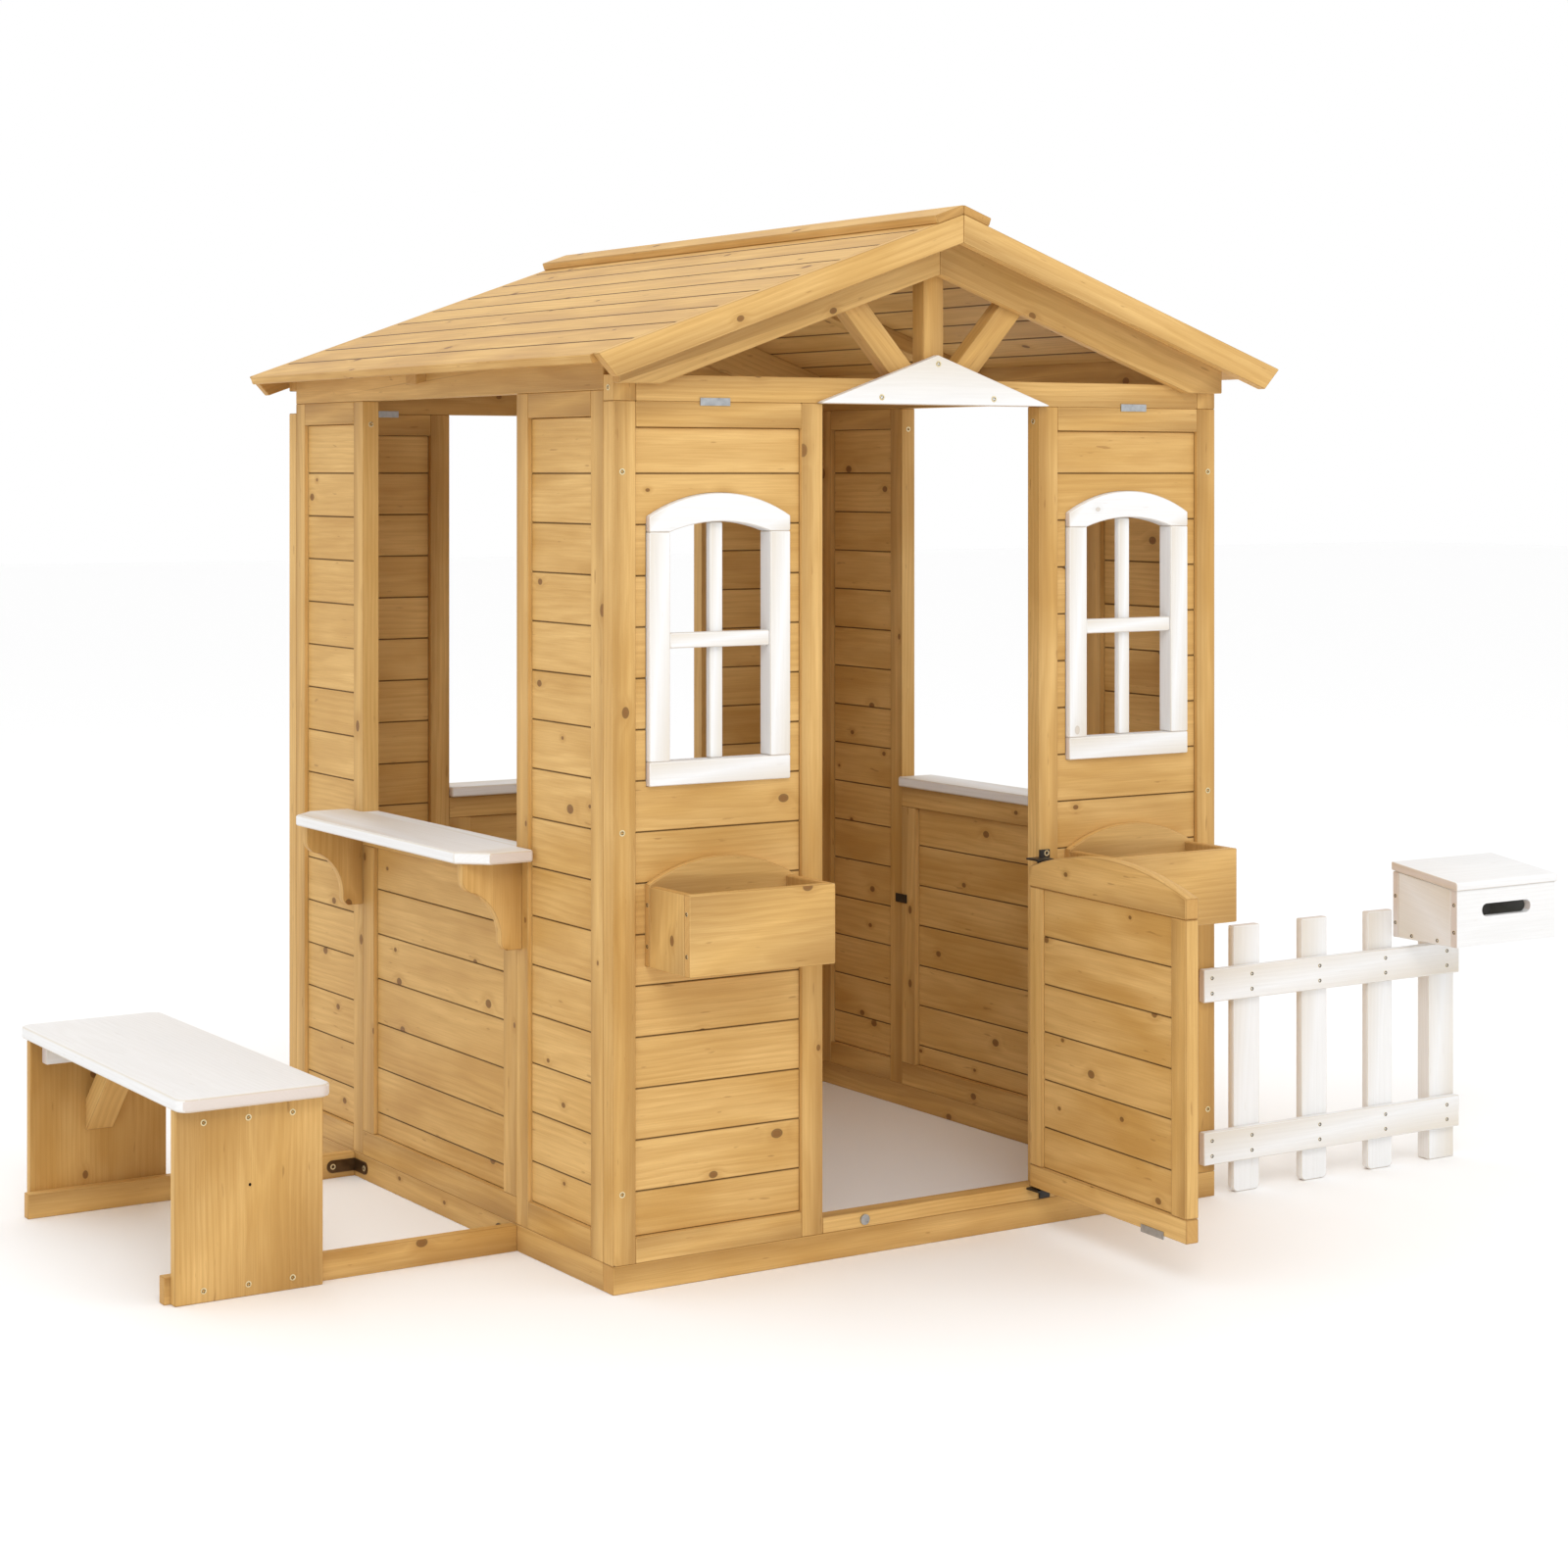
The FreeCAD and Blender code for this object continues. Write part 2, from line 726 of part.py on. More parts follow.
def flower_box(middle):
    """Front, two sides, arched back, floor and two corner cleats."""
    t = flower_board
    x0 = middle - flower_width / 2
    x1 = middle + flower_width / 2
    y_back = front + siding_recess
    y_front = front - flower_reach
    z1 = flower_top
    z0 = z1 - flower_height
    shoulder = z1 + flower_back_shoulder
    y_in = y_back - t
    edges = [line_edge((x0, y_in, z0), (x0, y_in, shoulder)),
             arc_edge((x0, y_in, shoulder), (middle, y_in, z1 + flower_back_crown),
                      (x1, y_in, shoulder)),
             line_edge((x1, y_in, shoulder), (x1, y_in, z0)),
             line_edge((x1, y_in, z0), (x0, y_in, z0))]
    back_board = Part.Face(Part.Wire(edges)).extrude(FreeCAD.Vector(0, t, 0))
    pieces = [back_board,
              block(x0, x1, y_front, y_front + t, z0, z1),
              block(x0, x0 + t, y_front + t, y_in, z0, z1),
              block(x1 - t, x1, y_front + t, y_in, z0, z1),
              block(x0 + t, x1 - t, y_front + t, y_in, z0, z0 + t)]
    for x in (x0 + t, x1 - t - flower_cleat):
        pieces.append(block(x, x + flower_cleat, y_front + t, y_front + t + flower_cleat,
                            z0 + t, z1 - t))
    return pieces


# ---- Door
door_x0 = door_left - door_latch_lap
door_x1 = door_right + door_hinge_lap
door_y1 = front - door_gap
door_y0 = door_y1 - door_thick
door_z0 = base_height + door_lift
door_z1 = door_z0 + door_side_height
pivot_x = door_x1 - pivot_inset
pivot_y = door_y1 - door_thick / 2
head_leaf = door_z1 + pivot_head_gap
door_foot_top = door_z0 + door_foot_rail
door_head_low = door_z1 - door_head_rail


def swing(shape):
    """Turns a piece drawn on the closed door to where the open door holds it."""
    opened = shape.copy()
    opened.rotate(FreeCAD.Vector(pivot_x, pivot_y, 0), FreeCAD.Vector(0, 0, 1), door_open_angle)
    return opened


def door_rail_plan(z0, z1):
    """A door rail seen from above: square at the latch, rounded at the hinge."""
    r = door_edge_radius
    c = r * math.cos(math.radians(45))
    x0 = door_x0
    x1 = door_x1
    y0 = door_y0
    y1 = door_y1
    edges = [line_edge((x0, y0, z0), (x1 - r, y0, z0)),
             arc_edge((x1 - r, y0, z0), (x1 - r + c, y0 + r - c, z0), (x1, y0 + r, z0)),
             line_edge((x1, y0 + r, z0), (x1, y1 - r, z0)),
             arc_edge((x1, y1 - r, z0), (x1 - r + c, y1 - r + c, z0), (x1 - r, y1, z0)),
             line_edge((x1 - r, y1, z0), (x0, y1, z0)),
             line_edge((x0, y1, z0), (x0, y0, z0))]
    return Part.Face(Part.Wire(edges)).extrude(FreeCAD.Vector(0, 0, z1 - z0))


def make_door():
    middle = (door_x0 + door_x1) / 2
    crown = door_z1 + door_crown
    plan = door_rail_plan(door_z0, crown)
    span = Part.makeBox(door_x1 - door_x0, door_thick, door_foot_rail,
                        FreeCAD.Vector(door_x0, door_y0, door_z0))
    foot_rail = plan.common(span)
    y = door_y0
    edges = [line_edge((door_x0, y, door_head_low), (door_x0, y, door_z1)),
             arc_edge((door_x0, y, door_z1), (middle, y, crown), (door_x1, y, door_z1)),
             line_edge((door_x1, y, door_z1), (door_x1, y, door_head_low)),
             line_edge((door_x1, y, door_head_low), (door_x0, y, door_head_low))]
    arch = Part.Face(Part.Wire(edges)).extrude(FreeCAD.Vector(0, door_thick, 0))
    head_rail = plan.common(arch)
    stile_span = block(door_x1 - door_stile, door_x1, door_y0, door_y1,
                       door_foot_top, door_head_low)
    hinge_stile = plan.common(stile_span)
    latch_stile = block(door_x0, door_x0 + door_stile, door_y0, door_y1,
                        door_foot_top, door_head_low)
    bore = pivot_radius + pivot_clearance
    foot_rail = foot_rail.cut(cylinder(bore, pivot_depth, (pivot_x, pivot_y, door_z0),
                                       (0, 0, 1)))
    head_rail = head_rail.cut(cylinder(bore, crown - door_z1 + pivot_depth,
                                       (pivot_x, pivot_y, door_z1 - pivot_depth), (0, 0, 1)))
    frame = [foot_rail, head_rail, hinge_stile, latch_stile]
    save("door_frame", [swing(piece.Solids[0]) for piece in frame])
    siding_y = (door_y0 + door_y1 - door_siding_thick) / 2
    levels = joints(door_foot_top, door_head_low, door_foot_top + door_first_joint)
    boards = siding_along_x(door_x0 + door_stile, door_x1 - door_stile, siding_y, levels,
                            door_siding_thick)
    save("door_siding", [swing(board) for board in boards])


def make_door_hardware():
    leg_end = door_right + pivot_leg
    x0 = pivot_x - pivot_inset + pivot_clearance
    x1 = door_right + pivot_leaf_lap
    foot_high = door_z0 - pivot_foot_gap
    brackets = []
    for leaf_low, leg_low, leg_high, pin_low, pin_length in (
            (head_leaf, head_leaf - pivot_leg_drop, head_leaf + pivot_leg_rise,
             door_z1 - pivot_depth + 1.0, head_leaf - door_z1 + pivot_depth - 1.0),
            (foot_high - pivot_leaf, base_height + 1.0, foot_high,
             foot_high, pivot_foot_gap + pivot_depth - 1.0)):
        leaf = block(x0, x1, front - pivot_arm, front, leaf_low, leaf_low + pivot_leaf)
        leg = block(door_right, leg_end, front - pivot_leaf, front, leg_low, leg_high)
        pin = cylinder(pivot_radius, pin_length, (pivot_x, pivot_y, pin_low), (0, 0, 1))
        brackets.append(leaf.fuse([leg, pin]).removeSplitter().Solids[0])
    save("door_pivot_brackets", brackets)
    magnet_x = door_left + magnet_inset
    magnet_z = base_height + door_lift / 2
    save("door_magnet", [cylinder(magnet_radius, magnet_thick,
                                  (magnet_x, front - magnet_thick, magnet_z), (0, 1, 0))])
    plate = block(magnet_x - strike_length / 2, magnet_x + strike_length / 2,
                  door_y1, door_y1 + strike_thick, door_z0 - strike_drop, door_z0 + strike_lap)
    save("door_strike", [swing(plate)])


# ---- Bench
bench_outer = left - bench_gap - seat_width
bench_inner = left - bench_gap
seat_y0 = front + seat_front
seat_y1 = seat_y0 + seat_length
seat_low = seat_top - seat_thick
leg_x0 = (bench_outer + bench_inner - leg_width) / 2
leg_x1 = leg_x0 + leg_width
bench_ends = ((seat_y0 + leg_inset, 1), (seat_y1 - leg_inset, -1))


def rounded_plate(x0, x1, y0, y1, z0, z1, radius):
    """A flat board whose four upright corners are rounded."""
    board = block(x0, x1, y0, y1, z0, z1)
    corners = [e for e in board.Edges if abs(e.Vertexes[0].Z - e.Vertexes[1].Z) > 0.5]
    return board.makeFillet(radius, corners)


def span(a, b):
    return (a, b) if a < b else (b, a)


def make_bench():
    save("bench_seat", [rounded_plate(bench_outer, bench_inner, seat_y0, seat_y1,
                                      seat_low, seat_top, seat_corner)])
    legs = []
    rails = []
    cleats = []
    braces = []
    for y_out, inward in bench_ends:
        y_leg = y_out + inward * leg_thick
        a, b = span(y_out, y_leg)
        legs.append(block(leg_x0, leg_x1, a, b, 0, seat_low))
        a, b = span(y_leg, y_leg + inward * rail_thick)
        rails.append(block(bench_outer - rail_run, left, a, b, 0, rail_height))
        a, b = span(y_leg, y_leg + inward * cleat_thick)
        cleats.append(block(leg_x0 + cleat_inset, leg_x1 - cleat_inset, a, b,
                            seat_low - cleat_height, seat_low))
        reach = seat_low - bench_brace_low
        high = bench_brace_low + bench_brace_height
        middle = (leg_x0 + leg_x1) / 2
        braces.append(plate_yz([(y_leg, bench_brace_low), (y_leg, high),
                                (y_leg + inward * (seat_low - high), seat_low),
                                (y_leg + inward * reach, seat_low)],
                               middle - bench_brace_width / 2, middle + bench_brace_width / 2))
    save("bench_legs", legs)
    save("bench_ground_rails", rails)
    save("bench_cleats", cleats)
    save("bench_braces", braces)


def make_bench_brackets():
    """Round-ended angle brackets in the corners of the ground rails and the house's base."""
    t = bracket_thick
    reach = bracket_leg
    end = bracket_width / 2
    z = rail_height / 2
    brackets = []
    for y_out, inward in bench_ends:
        y = y_out + inward * (leg_thick + rail_thick)
        y0, y1 = span(y, y + inward * t)
        rail_leg = block(left - reach + end, left, y0, y1, z - end, z + end)
        rail_end = cylinder(end, t, (left - reach + end, y0, z), (0, 1, 0))
        y0, y1 = span(y, y + inward * (reach - end))
        wall_leg = block(left - t, left, y0, y1, z - end, z + end)
        wall_end = cylinder(end, t, (left - t, y + inward * (reach - end), z), (1, 0, 0))
        legs = rail_leg.fuse([rail_end, wall_leg, wall_end])
        brackets.append(legs.removeSplitter().Solids[0])
    save("bench_angle_brackets", brackets)


# ---- Fence
fence_end = right + fence_length
post_x0 = fence_end - post_width


def make_fence():
    x0 = right - fence_lap
    y0 = front - fence_board
    rails = []
    for z in (fence_low_rail, fence_high_rail):
        rails.append(block(x0, fence_end, y0, front, z, z + fence_rail_height))
    save("fence_rails", rails)
    pickets = []
    for n in range(picket_count):
        x = right + picket_first + n * picket_pitch
        board = block(x, x + picket_width, front, front + fence_board, 0, picket_height)
        feet = [e for e in board.Edges if abs(e.Vertexes[0].Y - e.Vertexes[1].Y) > 0.5
                and e.CenterOfMass.z < 1.0]
        pickets.append(board.makeFillet(picket_corner, feet))
    save("fence_pickets", pickets)
    save("fence_post", [block(post_x0, fence_end, front, front + post_thick, 0, post_height)])


# ---- Mailbox
mail_x1 = fence_end + mail_past_fence
mail_x0 = mail_x1 - mail_width
mail_y0 = front - mail_depth
mail_y1 = front
mail_back_top = mail_floor_height + mail_back_height
mail_front_top = mail_floor_height + mail_front_height
mail_fall = (mail_back_top - mail_front_top) / mail_depth


def mail_top(y):
    """Height of the box's sloping rim."""
    return mail_back_top - mail_fall * (mail_y1 - y)


def slot_face(y):
    """The rounded letter slot in the front board."""
    r = mail_slot_height / 2
    x0 = (mail_x0 + mail_x1 - mail_slot_length) / 2
    x1 = x0 + mail_slot_length
    z1 = mail_front_top - mail_slot_drop
    z0 = z1 - mail_slot_height
    middle = z0 + r
    edges = [line_edge((x0 + r, y, z0), (x1 - r, y, z0)),
             arc_edge((x1 - r, y, z0), (x1, y, middle), (x1 - r, y, z1)),
             line_edge((x1 - r, y, z1), (x0 + r, y, z1)),
             arc_edge((x0 + r, y, z1), (x0, y, middle), (x0 + r, y, z0))]
    return Part.Face(Part.Wire(edges))


def make_mailbox():
    t = fence_board
    z0 = mail_floor_height
    y_in = mail_y0 + t
    back_in = mail_y1 - t
    front_section = [(mail_y0, z0), (y_in, z0), (y_in, mail_top(y_in)),
                     (mail_y0, mail_top(mail_y0))]
    front_board = plate_yz(front_section, mail_x0, mail_x1)
    slot = slot_face(mail_y0 - t).extrude(FreeCAD.Vector(0, 3 * t, 0))
    front_board = front_board.cut(slot).Solids[0]
    back_section = [(back_in, z0), (mail_y1, z0), (mail_y1, mail_top(mail_y1)),
                    (back_in, mail_top(back_in))]
    side_section = [(y_in, z0), (back_in, z0), (back_in, mail_top(back_in)),
                    (y_in, mail_top(y_in))]
    save("mailbox_box", [front_board,
                         plate_yz(back_section, mail_x0, mail_x1),
                         plate_yz(side_section, mail_x0, mail_x0 + t),
                         plate_yz(side_section, mail_x1 - t, mail_x1),
                         block(mail_x0 + t, mail_x1 - t, y_in, back_in, z0, z0 + t)])
    x0 = mail_x0 - lid_overhang
    x1 = mail_x1 + lid_overhang
    y0 = mail_y0 - lid_overhang
    low = lid_gap
    lid = plate_yz([(y0, mail_top(y0) + low), (mail_y1, mail_back_top + low),
                    (mail_y1, mail_back_top + low + lid_thick),
                    (y0, mail_top(y0) + low + lid_thick)], x0, x1)
    nose = [e for e in lid.Edges if abs(e.CenterOfMass.y - y0) < 0.1
            and abs(e.CenterOfMass.x - (x0 + x1) / 2) < 1.0 and e.CenterOfMass.z
            > mail_top(y0) + low + lid_thick / 2]
    save("mailbox_lid", [lid.makeFillet(lid_nose, nose)])


def make_mailbox_hinges():
    """Two butt hinges behind the mailbox: outer knuckles on the box, middle one on the lid."""
    axis_y = mail_y1 + hinge_radius + hinge_clearance
    axis_z = mail_back_top + lid_gap + lid_thick / 2
    third = hinge_length / 3
    fixed = []
    moving = []
    pins = []
    for x in (mail_x0 + hinge_inset, mail_x1 - hinge_inset - hinge_length):
        bore = cylinder(hinge_pin_radius + hinge_clearance, hinge_length + 2, (x - 1, axis_y, axis_z),
                        (1, 0, 0))
        for start in (x, x + 2 * third):
            knuckle = cylinder(hinge_radius, third - hinge_knuckle_gap,
                               (start + hinge_knuckle_gap / 2, axis_y, axis_z), (1, 0, 0))
            leaf = block(start + hinge_knuckle_gap / 2, start + third - hinge_knuckle_gap / 2,
                         mail_y1 + hinge_clearance, mail_y1 + hinge_clearance + hinge_leaf_thick,
                         axis_z - hinge_leaf_height, axis_z)
            fixed.append(knuckle.fuse(leaf).cut(bore).Solids[0])
        start = x + third + hinge_knuckle_gap / 2
        width = third - hinge_knuckle_gap
        knuckle = cylinder(hinge_radius, width, (start, axis_y, axis_z), (1, 0, 0))
        leaf = block(start, start + width, mail_y1, mail_y1 + hinge_leaf_thick,
                     mail_back_top + lid_gap + 1.0, axis_z + lid_thick / 2 - 1.0)
        moving.append(knuckle.fuse(leaf).cut(bore).removeSplitter().Solids[0])
        pins.append(cylinder(hinge_pin_radius, hinge_length, (x, axis_y, axis_z), (1, 0, 0)))
    save("mailbox_hinge_leaves_and_pins", fixed + pins)
    save("mailbox_lid_hinge_leaves", moving)


# ---- Plates and screws
def make_plates():
    clips = []
    z0 = front_panel_top - clip_height / 2
    for s in sides:
        x = s * (house_width / 2 - clip_place)
        clips.append(block(x - clip_length / 2, x + clip_length / 2, front - clip_thick, front,
                           z0, z0 + clip_height))
        y = back - wall
        clips.append(block(x - clip_length / 2, x + clip_length / 2, y - clip_thick, y,
                           z0, z0 + clip_height))
    save("header_joint_plates", clips)
    mending = []
    z0 = mending_level - mending_height / 2
    for s in sides:
        x_in = s * (house_width / 2 - wall)
        a, b = span(x_in, x_in - s * mending_thick)
        for y in (opening_front, opening_back):
            mending.append(block(a, b, y - mending_length / 2, y + mending_length / 2,
                                 z0, z0 + mending_height))
    save("mending_plates", mending)


def screw(place, inward, length=screw_length):
    """A countersunk screw: a flat head just proud of the face, and its shank in the wood."""
    p = FreeCAD.Vector(*place)
    d = FreeCAD.Vector(*inward)
    rim = Part.makeCylinder(screw_head, screw_proud, p - d * screw_proud, d)
    cone = Part.makeCone(screw_head, screw_shank, screw_sink, p, d)
    shank = Part.makeCylinder(screw_shank, length, p, d)
    return rim.fuse([cone, shank]).removeSplitter().Solids[0]


def make_house_screws():
    """Screws in the corner stiles, the jambs, the headers, the pediment and a hinge bracket."""
    screws = []
    inset = wall / 2
    levels = (base_height + 90.0, (base_height + front_panel_top) / 2, front_panel_top - 90.0)
    for s in sides:
        x = s * (house_width / 2 - inset)
        for z in levels:
            screws.append(screw((x, front, z), (0, 1, 0), long_screw))
            screws.append(screw((x, back, z), (0, -1, 0), long_screw))
        z = front_panel_top + front_header_height / 2
        screws.append(screw((s * house_width / 2, front + inset, z), (-s, 0, 0), long_screw))
        z = front_panel_top - 20.0
        screws.append(screw((s * door_right, front + inset, z), (s, 0, 0)))
        screws.append(screw((x, opening_back, z), (0, 1, 0)))
        screws.append(screw((x, opening_front, z), (0, -1, 0)))
        x = s * pediment_half_base * 0.48
        screws.append(screw((x, front - pediment_thick, front_panel_top + 9.0), (0, 1, 0)))
    z = front_panel_top + pediment_rise - 12.0
    screws.append(screw((0, front - pediment_thick, z), (0, 1, 0)))
    x = door_right + pivot_leg - 5.5
    screws.append(screw((x, front - pivot_leaf, head_leaf + 7.0), (0, 1, 0)))
    save("house_screws", screws)


def make_bench_screws():
    """Screws through the bench's legs, braces and brackets."""
    screws = []
    for y_out, inward in bench_ends:
        for part in (0.19, 0.49, 0.79):
            x = leg_x0 + leg_width * part
            for z in (rail_height * 0.43, seat_low - cleat_height * 0.6):
                screws.append(screw((x, y_out, z), (0, inward, 0)))
        y = y_out + inward * (leg_thick + bench_brace_screw)
        z = bench_brace_low + bench_brace_height + bench_brace_screw
        across = (0, -inward * math.sqrt(0.5), -math.sqrt(0.5))
        screws.append(screw(((leg_x0 + leg_x1) / 2, y, z), across, long_screw))
        hole = bracket_leg - bracket_width / 2
        y = y_out + inward * (leg_thick + rail_thick + bracket_thick)
        screws.append(screw((left - hole, y, rail_height / 2), (0, -inward, 0), short_screw))
        y = y_out + inward * (leg_thick + rail_thick + hole)
        screws.append(screw((left - bracket_thick, y, rail_height / 2), (1, 0, 0), short_screw))
    save("bench_screws", screws)


def make_fence_screws():
    screws = []
    middles = [right - fence_lap / 2]
    for n in range(picket_count):
        middles.append(right + picket_first + n * picket_pitch + picket_width / 2)
    middles.append((post_x0 + fence_end) / 2)
    y = front - fence_board
    for z in (fence_low_rail, fence_high_rail):
        for x in middles:
            for level in (0.27, 0.73):
                screws.append(screw((x, y, z + fence_rail_height * level), (0, 1, 0)))
    save("fence_screws", screws)


def flower_box_screws():
    """Two screws at the front and two at the back of each side board."""
    screws = []
    t = flower_board
    for s in sides:
        middle = s * window_middle
        for side in sides:
            x = middle + side * flower_width / 2
            for z in (flower_top - 24.0, flower_top - flower_height + 26.0):
                for y in (front - flower_reach + t / 2, front + siding_recess - t / 2 - 1.0):
                    screws.append(screw((x, y, z), (-side, 0, 0), box_screw))
    return screws


def mailbox_screws():
    """Two screws at the front, two at the back and two at the foot of each side."""
    screws = []
    t = fence_board
    z0 = mail_floor_height
    for side, x in ((-1, mail_x0), (1, mail_x1)):
        for z in (z0 + 22.0, z0 + 62.0):
            for y in (mail_y0 + t / 2, mail_y1 - t / 2):
                screws.append(screw((x, y, z), (-side, 0, 0), box_screw))
        for y in (mail_y0 + 40.0, mail_y1 - 40.0):
            screws.append(screw((x, y, z0 + t / 2), (-side, 0, 0), box_screw))
    return screws


make_base()
make_front_wall()
make_side_wall("left", -1)
make_side_wall("right", 1)
make_back_wall()
make_half_walls()
make_counter()
make_headers()
make_trusses()
make_roof()
save("flower_box_left", flower_box(-window_middle))
save("flower_box_right", flower_box(window_middle))
make_door()
make_door_hardware()
make_bench()
make_bench_brackets()
make_fence()
make_mailbox()
make_mailbox_hinges()
make_plates()
make_house_screws()
make_bench_screws()
make_fence_screws()
save("box_screws", flower_box_screws() + mailbox_screws())
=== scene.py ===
import bpy
import bmesh
import json
import math
import numpy as np
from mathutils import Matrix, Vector


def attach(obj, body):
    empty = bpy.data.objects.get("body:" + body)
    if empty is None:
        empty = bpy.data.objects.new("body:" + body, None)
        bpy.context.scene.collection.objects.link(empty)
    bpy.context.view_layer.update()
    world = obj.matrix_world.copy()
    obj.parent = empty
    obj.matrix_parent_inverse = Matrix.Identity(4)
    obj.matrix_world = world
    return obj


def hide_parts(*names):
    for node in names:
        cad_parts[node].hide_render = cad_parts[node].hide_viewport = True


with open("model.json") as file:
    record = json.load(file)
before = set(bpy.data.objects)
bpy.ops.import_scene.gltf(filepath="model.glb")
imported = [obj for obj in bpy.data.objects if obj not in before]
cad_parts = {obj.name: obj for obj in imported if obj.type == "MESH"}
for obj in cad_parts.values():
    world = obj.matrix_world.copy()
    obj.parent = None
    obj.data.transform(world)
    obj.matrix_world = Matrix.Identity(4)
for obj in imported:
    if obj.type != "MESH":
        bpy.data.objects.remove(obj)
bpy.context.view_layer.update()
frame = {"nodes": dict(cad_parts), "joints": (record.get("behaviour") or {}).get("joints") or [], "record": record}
scene = bpy.context.scene
scene.view_settings.view_transform = "Standard"
millimetre = 0.001
weldSteps = 2e5                  # places are told apart in steps of 5 micrometres
flatLimit = 0.03 * millimetre    # how far a point may lie from a flat end
randomDraw = np.random.default_rng(11)
slotOfNode = {part["node"]: part["material_slot"] for part in frame["record"]["subparts"]}
bodyOfNode = {node: body for body, nodes in frame["record"]["behaviour"]["bodies"].items()
              for node in nodes}
print("frame loaded:", len(frame["nodes"]), "nodes")


# Materials

def linearColor(hexText):
    # sRGB hex to linear: c/12.92 when small, else ((c + 0.055)/1.055) to the power 2.4
    parts = [int(hexText[i:i + 2], 16) / 255 for i in (1, 3, 5)]
    return tuple(c / 12.92 if c <= 0.04045 else ((c + 0.055) / 1.055) ** 2.4
                 for c in parts) + (1.0,)


def addNode(tree, kind, settings, inputs):
    # settings are the node's own; inputs give a socket, by name or number, either its value
    # or the output that feeds it
    node = tree.nodes.new("ShaderNode" + kind)
    for key, value in settings.items():
        setattr(node, key, value)
    for key, value in inputs.items():
        if isinstance(value, bpy.types.NodeSocket):
            tree.links.new(value, node.inputs[key])
        else:
            node.inputs[key].default_value = value
    return node


def newFinish(name):
    finish = bpy.data.materials.new(name)
    finish.use_nodes = True
    finish.node_tree.nodes.clear()
    return finish


def closeFinish(tree, inputs):
    shader = addNode(tree, "BsdfPrincipled", {}, inputs)
    addNode(tree, "OutputMaterial", {}, {"Surface": shader.outputs["BSDF"]})


# Fir boards under a honey-coloured stain: the eye sees soft grain arches on the face, fine
# straight fibres, brown knots with dark rims, small flecks, and painted shade in the joints.
honeyFir = {
    "name": "honeyStainedFir",
    "pale": "#E6BF7D", "body": "#CFA35C", "late": "#AF8040",
    "boardLight": "#DFB774", "boardDark": "#BB8D49",
    "knotHeart": "#734820", "knotRim": "#4A2C14", "fleck": "#85592A",
    # joint: painted shade for the gaps between boards
    "edge": "#875D2C", "edgeShare": 0.5, "joint": "#3A210C", "endGrain": "#B98A4B",
    "ringWidth": 7.0,        # millimetres between growth rings
    "ringShare": 0.36,
    "wander": 17.0,          # millimetres that the rings wander along the board
    "fibreWidth": 1.6,       # real fibres are near 0.05 mm, drawn this coarse so that they show
    "fibreShare": 0.26,
    "cloudShare": 0.75,
    "knotSpacing": 105.0,
    "knotSize": (2.0, 5.4),
    "knotShare": 0.5,
    "roughness": 0.55, "bump": 0.3, "specular": 0.25,
}
# Softwood under a thin white wash: nearly white, with the grain just visible and the timber
# showing a little along the sharp edges.
whitePaint = {
    "name": "whitePaintedSoftwood",
    "pale": "#F2F2F2", "body": "#ECECEC", "late": "#DBD9D6",
    "boardLight": "#EFEFEF", "boardDark": "#E8E8E7",
    "knotHeart": "#CDC2B6", "knotRim": "#BDAF9F", "fleck": "#DCD8D3",
    # joint: painted shade for the gaps between boards
    "edge": "#CBB897", "edgeShare": 0.5, "joint": "#B8A68C", "endGrain": "#CDB9AB",
    "ringWidth": 5.0,
    "ringShare": 0.22,
    "wander": 14.0,
    "fibreWidth": 1.6,
    "fibreShare": 0.22,
    "cloudShare": 0.5,
    "knotSpacing": 210.0,
    "knotSize": (2.5, 4.0),
    "knotShare": 0.2,
    "roughness": 0.5, "bump": 0.25, "specular": 0.3,
}


# What both timbers share. Scales are repeats per metre along, across and through the board.
timberDetail = {
    "knotStretch": (0.7, 1.0, 0.0),
    "wanderScale": (2.2, 9.0, 9.0),
    "cloudScale": (5.0, 16.0, 16.0),
    "fleckScale": (28.0, 150.0, 150.0),
    "fibreAlong": 14.0,
    "knotPush": 5.0,             # millimetres that a knot pushes the rings aside
    "bodyShare": 0.5, "haloShare": 0.35, "heartShare": 0.8, "rimShare": 0.7, "endShare": 0.6,
    "fleckShare": 0.4,
    # painted shade in the gaps between boards: how strong it is, and how far in it reaches
    "jointShare": 0.8,
    "jointLine": (0.3, 1.6),     # millimetres in from the edge: still full, and faded out
    "reliefDepth": 0.4,          # millimetres
}


